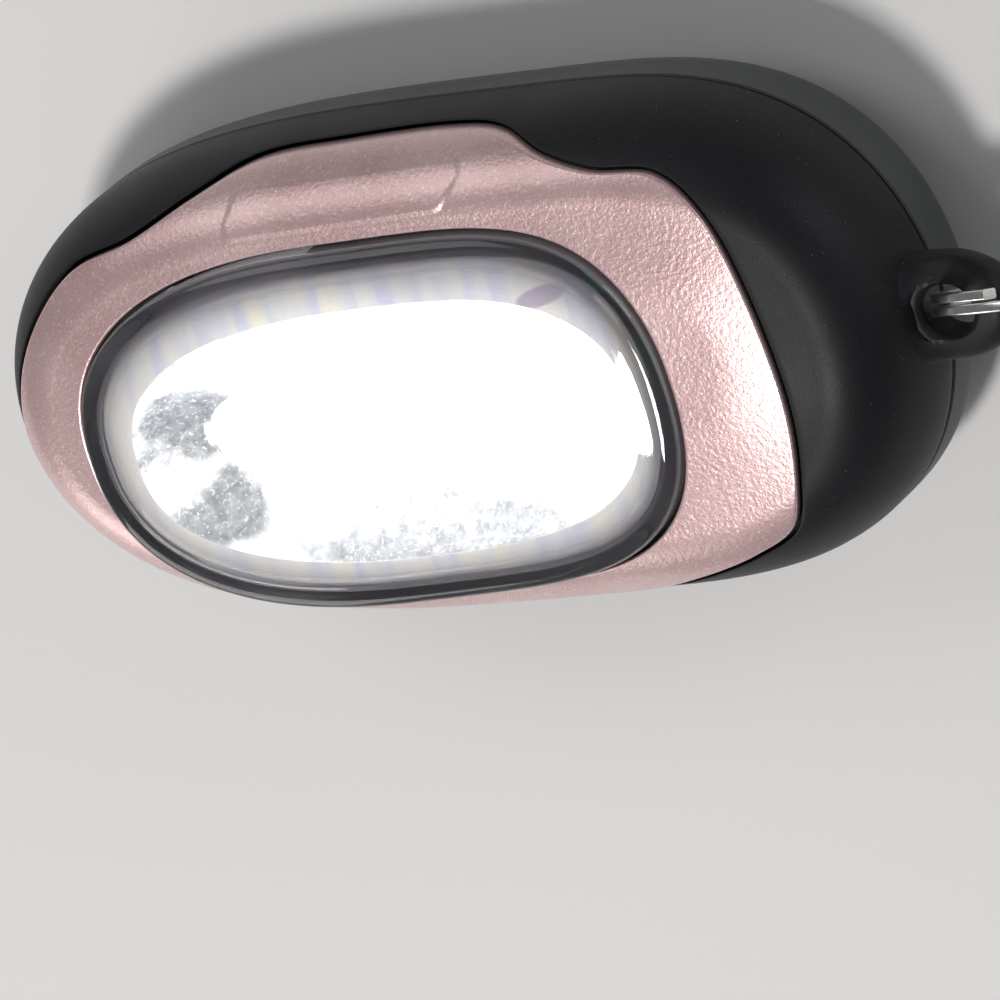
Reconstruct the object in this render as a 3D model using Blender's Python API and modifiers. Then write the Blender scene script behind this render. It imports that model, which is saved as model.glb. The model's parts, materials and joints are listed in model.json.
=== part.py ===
"""Key-ring COB light.

A pocket light lying on its flat back with the lens up (+Z).  The lug and its split ring are at the
-X end.  Two matt shells meet at one seam; the front carries a pink trim plate and a proud clear lens
over a reflector and an LED strip.  Two coin cells sit behind a coin-slot cover in the back, beside
the push button.  Metres throughout; the origin is on the back, between the button and the cover.
"""

import bpy
import bmesh
from math import cos, sin, pi, radians, sqrt, hypot
from mathutils import Matrix, Vector

MM = 0.001

# ---- sizes that drive the light -------------------------------------------------------------
CASE_LENGTH = 72.0 * MM
CASE_WIDTH = 36.2 * MM
REAR_DEPTH = 8.0 * MM
FRONT_HEIGHT = 9.0 * MM
CROWN_RISE = 0.5 * MM
WALL = 1.5 * MM
BACK_ROUND = 6.0 * MM
FRONT_ROUND = 6.0 * MM
PLATE_THICK = 0.6 * MM
PLATE_PROUD = 0.15 * MM
PANEL_RAISE = 0.22 * MM
LENS_PROUD = 1.9 * MM
LENS_WALL = 1.2 * MM
LUG_THICK = 3.4 * MM
LUG_RADIUS = 4.7 * MM
LUG_HOLE = 1.85 * MM
RING_RADIUS = 9.2 * MM
RING_WIRE_HEIGHT = 1.3 * MM
RING_WIRE_THICK = 0.7 * MM
RING_LEAN = radians(17)
CELL_RADIUS = 10.0 * MM
CELL_HEIGHT = 3.2 * MM
COVER_RADIUS = 11.7 * MM
BUTTON_RADIUS = 4.5 * MM
BUTTON_TRAVEL = 0.5 * MM
SCREW_SHANK = 0.9 * MM
SCREW_HEAD = 1.8 * MM
SCREW_INSET = 9.05 * MM

# ---- clearances -----------------------------------------------------------------------------
FIT = 0.3 * MM
SLIDE_FIT = 0.3 * MM
THREAD_FIT = 0.2 * MM
SEAL_FIT = 0.15 * MM

# ---- places derived from them ---------------------------------------------------------------
HALF_LENGTH = CASE_LENGTH / 2
HALF_WIDTH = CASE_WIDTH / 2
SEAM_Z = REAR_DEPTH
FRONT_BASE_Z = SEAM_Z + FIT
FRONT_BEND_Z = SEAM_Z + 1.0 * MM
PLATE_Z = SEAM_Z + FRONT_HEIGHT
COVER_X = 0.25 * HALF_LENGTH
BUTTON_X = -0.48 * HALF_LENGTH
LUG_X = -HALF_LENGTH - 1.9 * MM
LUG_Z = FRONT_BASE_Z + 0.25 * MM + LUG_THICK / 2
COVER_FLANGE = 0.6 * MM
COVER_BACK_Z = 0.15 * MM
COVER_TOP_Z = 2.3 * MM
CELL_LOW_Z = COVER_TOP_Z + FIT
CELL_HIGH_Z = CELL_LOW_Z + CELL_HEIGHT + FIT
CELLS_TOP_Z = CELL_HIGH_Z + CELL_HEIGHT
BOARD_Z = CELLS_TOP_Z + 1.3 * MM
BOARD_THICK = 0.8 * MM
COB_Z = BOARD_Z + BOARD_THICK + 0.6 * MM
COB_THICK = 1.0 * MM
PHOSPHOR_THICK = 0.4 * MM
BOWL_Z = COB_Z + COB_THICK + FIT
MOUTH_Z = PLATE_Z - 0.1 * MM

RIM_POINTS = 54
LENS_POINTS = 48


class Egg:
    """A closed outline: two different blunt ends that meet at a waist, with an optional tilt."""

    def __init__(self, centre, waist, back, back_power, front, front_power, half_width, power, tilt):
        self.centre = centre
        self.waist = waist
        self.back = back
        self.back_power = back_power
        self.front = front
        self.front_power = front_power
        self.half_width = half_width
        self.power = power
        self.tilt = tilt

    def at(self, angle):
        """Point and outward normal for one outline angle, before tilt."""
        c = cos(angle)
        s = sin(angle)
        reach = self.front if c >= 0 else self.back
        p = self.front_power if c >= 0 else self.back_power
        x = reach * abs(c) ** (2 / p) * (1 if c >= 0 else -1)
        y = self.half_width * abs(s) ** (2 / self.power) * (1 if s >= 0 else -1)
        nx = p * (abs(x) / reach) ** (p - 1) / reach * (1 if c >= 0 else -1)
        ny = self.power * (abs(y) / self.half_width) ** (self.power - 1) / self.half_width
        ny = ny if s >= 0 else -ny
        length = hypot(nx, ny)
        return (x + self.waist, y, nx / length, ny / length)

    def ring(self, inset, z, count):
        """The outline moved inward by an inset, as evenly spaced points at one height."""
        fine = count * 20
        raw = [self.at(2 * pi * i / fine) for i in range(fine)]
        path = [(x - nx * inset, y - ny * inset) for x, y, nx, ny in raw]
        travelled = [0.0]
        for i in range(fine):
            a = path[i]
            b = path[(i + 1) % fine]
            travelled.append(travelled[-1] + hypot(b[0] - a[0], b[1] - a[1]))
        points = []
        k = 0
        for i in range(count):
            goal = travelled[-1] * i / count
            while travelled[k + 1] < goal:
                k += 1
            a = path[k]
            b = path[(k + 1) % fine]
            f = (goal - travelled[k]) / (travelled[k + 1] - travelled[k])
            x = a[0] + (b[0] - a[0]) * f
            y = a[1] + (b[1] - a[1]) * f
            tx = x * cos(self.tilt) - y * sin(self.tilt)
            ty = x * sin(self.tilt) + y * cos(self.tilt)
            points.append(Vector((tx + self.centre[0], ty + self.centre[1], z)))
        return points


CASE_EGG = Egg((0, 0), -0.25 * HALF_LENGTH, 0.75 * HALF_LENGTH, 3.2, 1.25 * HALF_LENGTH, 3.8,
               HALF_WIDTH, 2.0, 0)
LENS_EGG = Egg((0.125 * HALF_LENGTH, 0.108 * HALF_WIDTH), 0, 0.647 * HALF_LENGTH, 4.2,
               0.647 * HALF_LENGTH, 2.5, 0.721 * HALF_WIDTH, 2.3, radians(1.5))
MOUTH_EGG = Egg((0.12 * HALF_LENGTH, 0.146 * HALF_WIDTH), 0, 0.55 * HALF_LENGTH, 3.0,
                0.55 * HALF_LENGTH, 2.2, 0.503 * HALF_WIDTH, 2.5, radians(1.2))
BOWL_EGG = Egg(MOUTH_EGG.centre, 0, 0.43 * HALF_LENGTH, 4.0, 0.43 * HALF_LENGTH, 4.0,
               0.19 * HALF_WIDTH, 2.6, 0)

# Trim plate outline, anticlockwise seen from above, as shares of half length and half width.
PLATE_OUTLINE = [
    (-0.750, 0.14), (-0.730, -0.25), (-0.683, -0.57), (-0.600, -0.74), (-0.472, -0.78),
    (-0.367, -0.845), (-0.267, -0.928), (-0.139, -0.95), (0.083, -0.945), (0.278, -0.922),
    (0.417, -0.834), (0.569, -0.707), (0.722, -0.608), (0.839, -0.398), (0.917, -0.138),
    (0.944, 0.138), (0.903, 0.42), (0.778, 0.675), (0.583, 0.857), (0.306, 0.951),
    (0.028, 0.971), (-0.267, 0.96), (-0.431, 0.894), (-0.583, 0.80), (-0.686, 0.685),
    (-0.733, 0.442)]

# Raised name panel on the plate: corners as shares of half length and half width.
PANEL_CORNERS = [(-0.175, -0.89), (0.30, -0.87), (0.325, -0.675), (-0.135, -0.70)]


# ---- scene bookkeeping ------------------------------------------------------------------------
for old in list(bpy.data.objects):
    bpy.data.objects.remove(old, do_unlink=True)

parts = bpy.data.collections.new("key_ring_cob_light")
tools = bpy.data.collections.new("cutters")
bpy.context.scene.collection.children.link(parts)
bpy.context.scene.collection.children.link(tools)


def material(name, colour, metallic=0.0, roughness=0.5, transmission=0.0, glow=0.0):
    mat = bpy.data.materials.new(name)
    mat.use_nodes = True
    shader = mat.node_tree.nodes["Principled BSDF"]
    shader.inputs["Base Color"].default_value = (*colour, 1)
    shader.inputs["Metallic"].default_value = metallic
    shader.inputs["Roughness"].default_value = roughness
    shader.inputs["Transmission Weight"].default_value = transmission
    shader.inputs["Emission Color"].default_value = (*colour, 1)
    shader.inputs["Emission Strength"].default_value = glow
    mat.diffuse_color = (*colour, 1)
    return mat


def add(name, mesh, mat, angle=35):
    """A finished part from a mesh, shaded smooth with its corners kept crisp."""
    mesh.shade_smooth()
    mesh.set_sharp_from_angle(angle=radians(angle))
    obj = bpy.data.objects.new(name, mesh)
    parts.objects.link(obj)
    if mat is not None:
        mesh.materials.append(mat)
    return obj


def cutter(name, mesh):
    obj = bpy.data.objects.new(name, mesh)
    tools.objects.link(obj)
    obj.hide_render = True
    obj.display_type = "WIRE"
    return obj


def boolean(obj, other, operation):
    mod = obj.modifiers.new(other.name, "BOOLEAN")
    mod.operation = operation
    mod.solver = "EXACT"
    mod.object = other


def cut(obj, other):
    boolean(obj, other, "DIFFERENCE")


def to_mesh(name, bm):
    bmesh.ops.recalc_face_normals(bm, faces=bm.faces)
    mesh = bpy.data.meshes.new(name)
    bm.to_mesh(mesh)
    bm.free()
    return mesh


def loft(name, rings, closed=False):
    """Skin between outlines that have the same number of points, capped unless closed on itself."""
    bm = bmesh.new()
    rows = [[bm.verts.new(p) for p in ring] for ring in rings]
    last = len(rows) if closed else len(rows) - 1
    for r in range(last):
        low = rows[r]
        high = rows[(r + 1) % len(rows)]
        for i in range(len(low)):
            j = (i + 1) % len(low)
            bm.faces.new((low[i], low[j], high[j], high[i]))
    if not closed:
        bm.faces.new(list(reversed(rows[0])))
        bm.faces.new(rows[-1])
    return to_mesh(name, bm)


def cylinder(name, radius, bottom, top, centre=(0, 0), segments=48, top_radius=None):
    bm = bmesh.new()
    bmesh.ops.create_cone(bm, cap_ends=True, segments=segments, radius1=radius,
                          radius2=radius if top_radius is None else top_radius, depth=top - bottom)
    bmesh.ops.translate(bm, verts=bm.verts, vec=(centre[0], centre[1], (top + bottom) / 2))
    return to_mesh(name, bm)


def box(name, low, high):
    bm = bmesh.new()
    bmesh.ops.create_cube(bm, size=1)
    for v in bm.verts:
        v.co = Vector([low[i] + (v.co[i] + 0.5) * (high[i] - low[i]) for i in range(3)])
    return to_mesh(name, bm)


def profile_mesh(name, corners, closed):
    """Edges in the XZ plane for a turned part; an open profile starts and ends on the axis."""
    run = list(reversed(corners))
    if not closed:
        run = [(0, run[0][1])] + run + [(0, run[-1][1])]
    bm = bmesh.new()
    knots = [bm.verts.new((radius, 0, height)) for radius, height in run]
    for a, b in zip(knots, knots[1:]):
        bm.edges.new((a, b))
    if closed:
        bm.edges.new((knots[-1], knots[0]))
    mesh = bpy.data.meshes.new(name)
    bm.to_mesh(mesh)
    bm.free()
    return mesh


def spin(obj, segments):
    """Turn an object's profile about its own upright axis."""
    mod = obj.modifiers.new("turn", "SCREW")
    mod.axis = "Z"
    mod.steps = segments
    mod.render_steps = segments
    mod.use_merge_vertices = True
    mod.merge_threshold = 1e-6
    mod.use_normal_calculate = False


def turned(name, corners, centre, segments, mat, closed=False, base=0.0):
    """A turned part; corners are (radius, height) from the bottom up its outer side."""
    obj = bpy.data.objects.new(name, profile_mesh(name, [(r, z - base) for r, z in corners], closed))
    parts.objects.link(obj)
    obj.data.materials.append(mat)
    obj.location = (centre[0], centre[1], base)
    spin(obj, segments)
    return obj


def turned_cutter(name, corners, centre, segments, closed=False):
    obj = cutter(name, profile_mesh(name, corners, closed))
    obj.location = (centre[0], centre[1], 0)
    spin(obj, segments)
    return obj


def prism(name, points, bottom, top, rounded=True, steps=3):
    """An upright solid over a smooth or straight-sided outline."""
    curve = bpy.data.curves.new(name, "CURVE")
    curve.dimensions = "2D"
    curve.fill_mode = "BOTH"
    curve.extrude = (top - bottom) / 2
    curve.resolution_u = steps
    kind = "BEZIER" if rounded else "POLY"
    spline = curve.splines.new(kind)
    knots = spline.bezier_points if rounded else spline.points
    knots.add(len(points) - 1)
    for knot, (x, y) in zip(knots, points):
        if rounded:
            knot.co = (x, y, 0)
            knot.handle_left_type = "AUTO"
            knot.handle_right_type = "AUTO"
        else:
            knot.co = (x, y, 0, 1)
    spline.use_cyclic_u = True
    obj = bpy.data.objects.new(name, curve)
    bpy.context.scene.collection.objects.link(obj)
    bpy.context.view_layer.update()
    mesh = bpy.data.meshes.new_from_object(obj)
    bpy.data.objects.remove(obj, do_unlink=True)
    bm = bmesh.new()
    bm.from_mesh(mesh)
    bmesh.ops.remove_doubles(bm, verts=bm.verts, dist=1e-6)
    bmesh.ops.translate(bm, verts=bm.verts, vec=(0, 0, (top + bottom) / 2))
    return to_mesh(name, bm)


def wire(name, points, radius):
    """A round wire through points, with closed ends."""
    curve = bpy.data.curves.new(name, "CURVE")
    curve.dimensions = "3D"
    curve.bevel_depth = radius
    curve.bevel_resolution = 2
    curve.use_fill_caps = True
    spline = curve.splines.new("POLY")
    spline.points.add(len(points) - 1)
    for knot, p in zip(spline.points, points):
        knot.co = (*p, 1)
    return curve


def curve_to_mesh(name, curve, matrix=Matrix.Identity(4)):
    obj = bpy.data.objects.new(name, curve)
    bpy.context.scene.collection.objects.link(obj)
    bpy.context.view_layer.update()
    shaped = obj.evaluated_get(bpy.context.evaluated_depsgraph_get())
    mesh = bpy.data.meshes.new_from_object(shaped)
    bpy.data.objects.remove(obj, do_unlink=True)
    bm = bmesh.new()
    bm.from_mesh(mesh)
    bmesh.ops.remove_doubles(bm, verts=bm.verts, dist=1e-6)
    bmesh.ops.transform(bm, matrix=matrix, verts=bm.verts)
    return to_mesh(name, bm)


def bevel(obj, width, segments, angle=30):
    mod = obj.modifiers.new("edges", "BEVEL")
    mod.width = width
    mod.segments = segments
    mod.limit_method = "ANGLE"
    mod.angle_limit = radians(angle)


# ---- finishes ---------------------------------------------------------------------------------
matt_black = material("case_front_black", (0.012, 0.013, 0.015), roughness=0.62)
rear_black = material("case_rear_black", (0.016, 0.018, 0.018), roughness=0.6)
pink = material("plate_rose", (0.62, 0.36, 0.35), metallic=0.75, roughness=0.38)
clear = material("lens_clear", (0.9, 0.92, 0.95), roughness=0.05, transmission=1.0)
bright = material("reflector_bright", (0.85, 0.85, 0.87), metallic=0.9, roughness=0.15)
aluminium = material("cob_aluminium", (0.75, 0.76, 0.78), metallic=1.0, roughness=0.35)
phosphor = material("cob_light", (1.0, 0.97, 0.88), roughness=0.5, glow=6.0)
board_green = material("driver_board_green", (0.02, 0.16, 0.07), roughness=0.45)
chip_black = material("chip_black", (0.02, 0.02, 0.022), roughness=0.5)
resistor_ink = material("resistor_body", (0.03, 0.03, 0.04), roughness=0.4)
switch_grey = material("switch_housing", (0.06, 0.06, 0.065), roughness=0.5)
stem_white = material("switch_stem", (0.8, 0.79, 0.75), roughness=0.45)
rubber = material("button_rubber", (0.05, 0.052, 0.055), roughness=0.85)
retainer_white = material("retainer_plastic", (0.55, 0.55, 0.53), roughness=0.5)
holder_black = material("holder_plastic", (0.03, 0.03, 0.032), roughness=0.55)
cell_lower_steel = material("cell_lower_steel", (0.72, 0.72, 0.70), metallic=1.0, roughness=0.25)
cell_upper_steel = material("cell_upper_steel", (0.72, 0.72, 0.70), metallic=1.0, roughness=0.27)
spring_steel = material("spring_plated", (0.7, 0.68, 0.62), metallic=1.0, roughness=0.3)
contact_plate = material("contact_plated", (0.78, 0.72, 0.55), metallic=1.0, roughness=0.3)
cover_black = material("cover_black", (0.02, 0.021, 0.022), roughness=0.6)
seal_orange = material("seal_silicone", (0.45, 0.10, 0.03), roughness=0.7)
lead_red = material("lead_red", (0.5, 0.02, 0.02), roughness=0.45)
lead_black = material("lead_black", (0.015, 0.015, 0.015), roughness=0.45)
screw_steel = material("screw_black_zinc", (0.12, 0.12, 0.13), metallic=1.0, roughness=0.35)
ring_nickel = material("ring_nickel", (0.80, 0.79, 0.76), metallic=1.0, roughness=0.18)


# ---- front form: one profile, offset for shell, recess and plate -------------------------------
def front_rings(offset, base_z, steps=5):
    """Outlines of the crowned front from the rim up, moved outward by an offset."""
    across = FRONT_ROUND + offset
    tall = PLATE_Z - FRONT_BEND_Z + offset
    rings = [CASE_EGG.ring(-offset, base_z, RIM_POINTS)]
    for i in range(steps + 1):
        turn = pi / 2 * i / steps
        rings.append(CASE_EGG.ring(FRONT_ROUND - across * cos(turn), FRONT_BEND_Z + tall * sin(turn),
                                   RIM_POINTS))
    rings.append(CASE_EGG.ring(FRONT_ROUND + 4.5 * MM, PLATE_Z + offset + CROWN_RISE, RIM_POINTS))
    return rings


def scaled(points):
    return [(x * HALF_LENGTH, y * HALF_WIDTH) for x, y in points]


def grown(points, distance):
    """An outline moved outward; points run anticlockwise."""
    moved = []
    count = len(points)
    for i in range(count):
        ax, ay = points[i - 1]
        bx, by = points[(i + 1) % count]
        tx = bx - ax
        ty = by - ay
        size = hypot(tx, ty)
        moved.append((points[i][0] + ty / size * distance, points[i][1] - tx / size * distance))
    return moved


def lens_prism(name, grow, bottom, top):
    return loft(name, [LENS_EGG.ring(-grow, bottom, LENS_POINTS), LENS_EGG.ring(-grow, top, LENS_POINTS)])


SCREW_PLACES = [(-0.69 * HALF_LENGTH, 0.39 * HALF_WIDTH), (-0.69 * HALF_LENGTH, -0.39 * HALF_WIDTH),
                (0.635 * HALF_LENGTH, HALF_WIDTH - SCREW_INSET),
                (0.635 * HALF_LENGTH, SCREW_INSET - HALF_WIDTH)]
BOSS_RADIUS = 2.6 * MM
BOSS_TOP = SEAM_Z - FIT
FRONT_BOSS_Z = SEAM_Z + FIT


# ---- rear shell --------------------------------------------------------------------------------
def rear_rings():
    rings = []
    for i in range(7):
        turn = pi / 2 * (1 - i / 6)
        rings.append(CASE_EGG.ring(BACK_ROUND * (1 - cos(turn)), BACK_ROUND * (1 - sin(turn)), RIM_POINTS))
    rings.append(CASE_EGG.ring(0, SEAM_Z, RIM_POINTS))
    rings.append(CASE_EGG.ring(WALL, SEAM_Z, RIM_POINTS))
    inner = BACK_ROUND - WALL
    for i in range(6):
        turn = pi / 2 * i / 5
        rings.append(CASE_EGG.ring(BACK_ROUND - inner * cos(turn), BACK_ROUND - inner * sin(turn),
                                   RIM_POINTS))
    return rings


rear = add("rear_shell", loft("rear_shell", rear_rings()), rear_black)
for n, (x, y) in enumerate(SCREW_PLACES):
    boss = cutter(f"rear_boss_{n}", cylinder("rear_boss", BOSS_RADIUS, WALL / 2, BOSS_TOP, (x, y), 16))
    boolean(rear, boss, "UNION")
COLLAR_INNER = BUTTON_RADIUS + 2.4 * MM
COLLAR_TOP = 4.3 * MM
collar = turned_cutter("button_collar", [
    (COLLAR_INNER, WALL / 2), (COLLAR_INNER + 1.0 * MM, WALL / 2),
    (COLLAR_INNER + 1.0 * MM, COLLAR_TOP), (COLLAR_INNER, COLLAR_TOP)],
    (BUTTON_X, 0), 32, closed=True)
boolean(rear, collar, "UNION")
for n, (x, y) in enumerate(SCREW_PLACES):
    cut(rear, turned_cutter(f"screw_way_{n}", [
        (SCREW_HEAD + THREAD_FIT, -1 * MM), (SCREW_HEAD + THREAD_FIT, 1.5 * MM),
        (SCREW_SHANK + THREAD_FIT, 2.4 * MM), (SCREW_SHANK + THREAD_FIT, SEAM_Z + 1 * MM)], (x, y), 16))
cut(rear, cutter("button_way", cylinder("button_way", BUTTON_RADIUS + SLIDE_FIT, -1 * MM,
                                        WALL + 0.1 * MM, (BUTTON_X, 0), 40)))
PLUG_RADIUS = COVER_RADIUS - 1.2 * MM
LEDGE_Z = COVER_BACK_Z + COVER_FLANGE + 0.2 * MM
cut(rear, turned_cutter("cover_way", [
    (COVER_RADIUS + FIT, -1 * MM), (COVER_RADIUS + FIT, LEDGE_Z), (PLUG_RADIUS + FIT + 0.1 * MM, LEDGE_Z),
    (PLUG_RADIUS + FIT + 0.1 * MM, 3 * MM)], (COVER_X, 0), 48))
TAB_WIDTH = 4.0 * MM
TAB_REACH = PLUG_RADIUS + 1.3 * MM
notch = cutter("tab_way", box("tab_way", (-TAB_REACH - FIT, -TAB_WIDTH / 2 - FIT, LEDGE_Z),
                              (TAB_REACH + FIT, TAB_WIDTH / 2 + FIT, 3 * MM)))
notch.matrix_world = Matrix.Translation((COVER_X, 0, 0)) @ Matrix.Rotation(radians(45), 4, "Z")
cut(rear, notch)

# ---- front shell -------------------------------------------------------------------------------
outer = front_rings(0, FRONT_BASE_Z)
inner = front_rings(-WALL, FRONT_BASE_Z)
front = add("front_shell", loft("front_shell", list(reversed(inner)) + outer), matt_black)

lip = cutter("locating_lip", loft("locating_lip", [
    CASE_EGG.ring(WALL + FIT, SEAM_Z - 1.1 * MM, RIM_POINTS),
    CASE_EGG.ring(WALL + FIT, FRONT_BASE_Z + 0.8 * MM, RIM_POINTS),
    CASE_EGG.ring(WALL - 0.3 * MM, FRONT_BASE_Z + 0.8 * MM, RIM_POINTS),
    CASE_EGG.ring(WALL - 0.3 * MM, FRONT_BASE_Z + 1.4 * MM, RIM_POINTS),
    CASE_EGG.ring(WALL + 1.2 * MM, FRONT_BASE_Z + 1.4 * MM, RIM_POINTS),
    CASE_EGG.ring(WALL + 1.2 * MM, SEAM_Z - 1.1 * MM, RIM_POINTS)], closed=True))
boolean(front, lip, "UNION")

lug = cutter("lug_tab", cylinder("lug_tab", LUG_RADIUS, LUG_Z - LUG_THICK / 2, LUG_Z + LUG_THICK / 2,
                                 (LUG_X, 0), 28))
bevel(lug, 1.1 * MM, 3)
neck = cutter("lug_neck", box("lug_neck", (LUG_X, -LUG_RADIUS + 0.15 * MM, LUG_Z - LUG_THICK / 2),
                              (-HALF_LENGTH + 2.2 * MM, LUG_RADIUS - 0.15 * MM, LUG_Z + LUG_THICK / 2)))
bevel(neck, 1.0 * MM, 3)
boolean(front, lug, "UNION")
boolean(front, neck, "UNION")
LUG_LOW = LUG_Z - LUG_THICK / 2
LUG_HIGH = LUG_Z + LUG_THICK / 2
cut(front, turned_cutter("lug_way", [
    (LUG_HOLE + 0.9 * MM, LUG_LOW - 0.3 * MM), (LUG_HOLE, LUG_LOW + 0.6 * MM),
    (LUG_HOLE, LUG_HIGH - 0.6 * MM), (LUG_HOLE + 0.9 * MM, LUG_HIGH + 0.3 * MM)], (LUG_X, 0), 24))

for n, (x, y) in enumerate(SCREW_PLACES):
    if x < 0:
        top = PLATE_Z - 1.1 * MM
    else:
        top = BOARD_Z + BOARD_THICK
    boolean(front, cutter(f"front_boss_{n}", cylinder("front_boss", BOSS_RADIUS, FRONT_BOSS_Z, top,
                                                      (x, y), 16)), "UNION")
    if x > 0:
        side = 1 if y > 0 else -1
        edge = side * (HALF_WIDTH - 3.0 * MM)
        rib_low = (x - 0.8 * MM, min(y, edge), FRONT_BOSS_Z + 0.5 * MM)
        rib_high = (x + 0.8 * MM, max(y, edge), top - 0.4 * MM)
        boolean(front, cutter(f"boss_rib_{n}", box("boss_rib", rib_low, rib_high)), "UNION")
for n, (x, y) in enumerate(SCREW_PLACES):
    cut(front, cutter(f"pilot_{n}", cylinder("pilot", SCREW_SHANK + THREAD_FIT, FRONT_BOSS_Z - 1 * MM,
                                             FRONT_BOSS_Z + 3.4 * MM, (x, y), 12)))

recess = cutter("plate_recess", prism("plate_recess", grown(scaled(PLATE_OUTLINE), FIT), SEAM_Z,
                                      PLATE_Z + 4 * MM))
recess_floor = cutter("recess_floor", loft("recess_floor",
                                           front_rings(PLATE_PROUD - PLATE_THICK - FIT, SEAM_Z - 2 * MM)))
cut(recess, recess_floor)
cut(front, recess)
window = cutter("window", lens_prism("window", FIT, SEAM_Z + 4.0 * MM, PLATE_Z + 6 * MM))
cut(front, window)

# ---- trim plate --------------------------------------------------------------------------------
plate_top = front_rings(PLATE_PROUD, SEAM_Z + 0.4 * MM)
plate_low = front_rings(PLATE_PROUD - PLATE_THICK, SEAM_Z + 0.4 * MM)
plate = add("trim_plate", loft("trim_plate", list(reversed(plate_low)) + plate_top), pink)
boolean(plate, cutter("plate_edge", prism("plate_edge", scaled(PLATE_OUTLINE), SEAM_Z + 0.8 * MM,
                                          PLATE_Z + 4 * MM)), "INTERSECT")
panel_top = cutter("panel_form", loft("panel_form", front_rings(PLATE_PROUD + PANEL_RAISE, SEAM_Z)))
panel = cutter("name_panel", prism("name_panel", scaled(PANEL_CORNERS), SEAM_Z + 2 * MM,
                                   PLATE_Z + 4 * MM, rounded=False))
panel_core = cutter("panel_core", loft("panel_core", front_rings(PLATE_PROUD - PLATE_THICK / 2,
                                                                 SEAM_Z - 1 * MM)))
bevel(panel, 1.0 * MM, 3)
boolean(panel, panel_top, "INTERSECT")
cut(panel, panel_core)
boolean(plate, panel, "UNION")
cut(plate, cutter("plate_window", lens_prism("plate_window", FIT, SEAM_Z + 4.0 * MM, PLATE_Z + 6 * MM)))

# ---- lens --------------------------------------------------------------------------------------
LENS_FOOT_Z = PLATE_Z - 2.6 * MM
LENS_SHOULDER_Z = PLATE_Z + 0.55 * MM
LENS_TOP_Z = PLATE_Z + LENS_PROUD
LENS_ROUND = 1.3 * MM
lens_rings = [LENS_EGG.ring(LENS_WALL, LENS_FOOT_Z, LENS_POINTS),
              LENS_EGG.ring(0, LENS_FOOT_Z, LENS_POINTS),
              LENS_EGG.ring(0, LENS_SHOULDER_Z, LENS_POINTS)]
for i in range(1, 5):
    turn = pi / 2 * i / 4
    lens_rings.append(LENS_EGG.ring(LENS_ROUND * (1 - cos(turn)), LENS_SHOULDER_Z + 0.8 * MM * sin(turn),
                                    LENS_POINTS))
lens_rings.append(LENS_EGG.ring(4.0 * MM, LENS_TOP_Z - 0.2 * MM, LENS_POINTS))
lens_rings.append(LENS_EGG.ring(8.0 * MM, LENS_TOP_Z, LENS_POINTS))
lens_inside = [LENS_EGG.ring(LENS_WALL + 6.5 * MM, LENS_TOP_Z - 1.1 * MM, LENS_POINTS),
               LENS_EGG.ring(LENS_WALL + 0.9 * MM, LENS_TOP_Z - 1.5 * MM, LENS_POINTS),
               LENS_EGG.ring(LENS_WALL, LENS_TOP_Z - 1.9 * MM, LENS_POINTS)]
lens = add("lens", loft("lens", lens_inside + lens_rings), clear)

# ---- reflector ---------------------------------------------------------------------------------
FLANGE_THICK = 0.6 * MM
BOWL_WALL = 0.7 * MM


def blend(a, b, share):
    return [p.lerp(q, share) for p, q in zip(a, b)]


mouth = MOUTH_EGG.ring(0, MOUTH_Z, LENS_POINTS)
bottom = BOWL_EGG.ring(0, BOWL_Z, LENS_POINTS)
reflector_rings = []
for i in range(7):
    share = i / 6
    row = blend(bottom, mouth, share ** 0.75)
    for p in row:
        p.z = BOWL_Z + (MOUTH_Z - BOWL_Z) * share ** 1.25
    reflector_rings.append(row)
flange_edge = LENS_EGG.ring(LENS_WALL + FIT, MOUTH_Z, LENS_POINTS)
reflector_rings.append(flange_edge)
reflector_rings.append([Vector((p.x, p.y, MOUTH_Z - FLANGE_THICK)) for p in flange_edge])
mouth_under = MOUTH_EGG.ring(-BOWL_WALL, MOUTH_Z - FLANGE_THICK, LENS_POINTS)
bottom_under = BOWL_EGG.ring(-BOWL_WALL, BOWL_Z, LENS_POINTS)
for i in range(6, -1, -1):
    share = i / 6
    row = blend(bottom_under, mouth_under, share ** 0.75)
    for p in row:
        p.z = BOWL_Z + (MOUTH_Z - FLANGE_THICK - BOWL_Z) * share ** 1.25
    reflector_rings.append(row)
reflector = add("reflector", loft("reflector", reflector_rings, closed=True), bright)

# ---- LED strip and its board -------------------------------------------------------------------
STRIP_X, STRIP_Y = MOUTH_EGG.centre
COB_HALF = (0.47 * HALF_LENGTH, 0.26 * HALF_WIDTH)
cob = add("cob_board", box("cob_board", (STRIP_X - COB_HALF[0], STRIP_Y - COB_HALF[1], COB_Z),
                           (STRIP_X + COB_HALF[0], STRIP_Y + COB_HALF[1], COB_Z + COB_THICK)), aluminium)
bevel(cob, 0.15 * MM, 1)
strip = add("cob_phosphor", loft("cob_phosphor", [
    BOWL_EGG.ring(0.5 * MM, BOWL_Z, LENS_POINTS),
    BOWL_EGG.ring(0.5 * MM, BOWL_Z + PHOSPHOR_THICK * 0.6, LENS_POINTS),
    BOWL_EGG.ring(0.9 * MM, BOWL_Z + PHOSPHOR_THICK, LENS_POINTS)]), phosphor)

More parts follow.
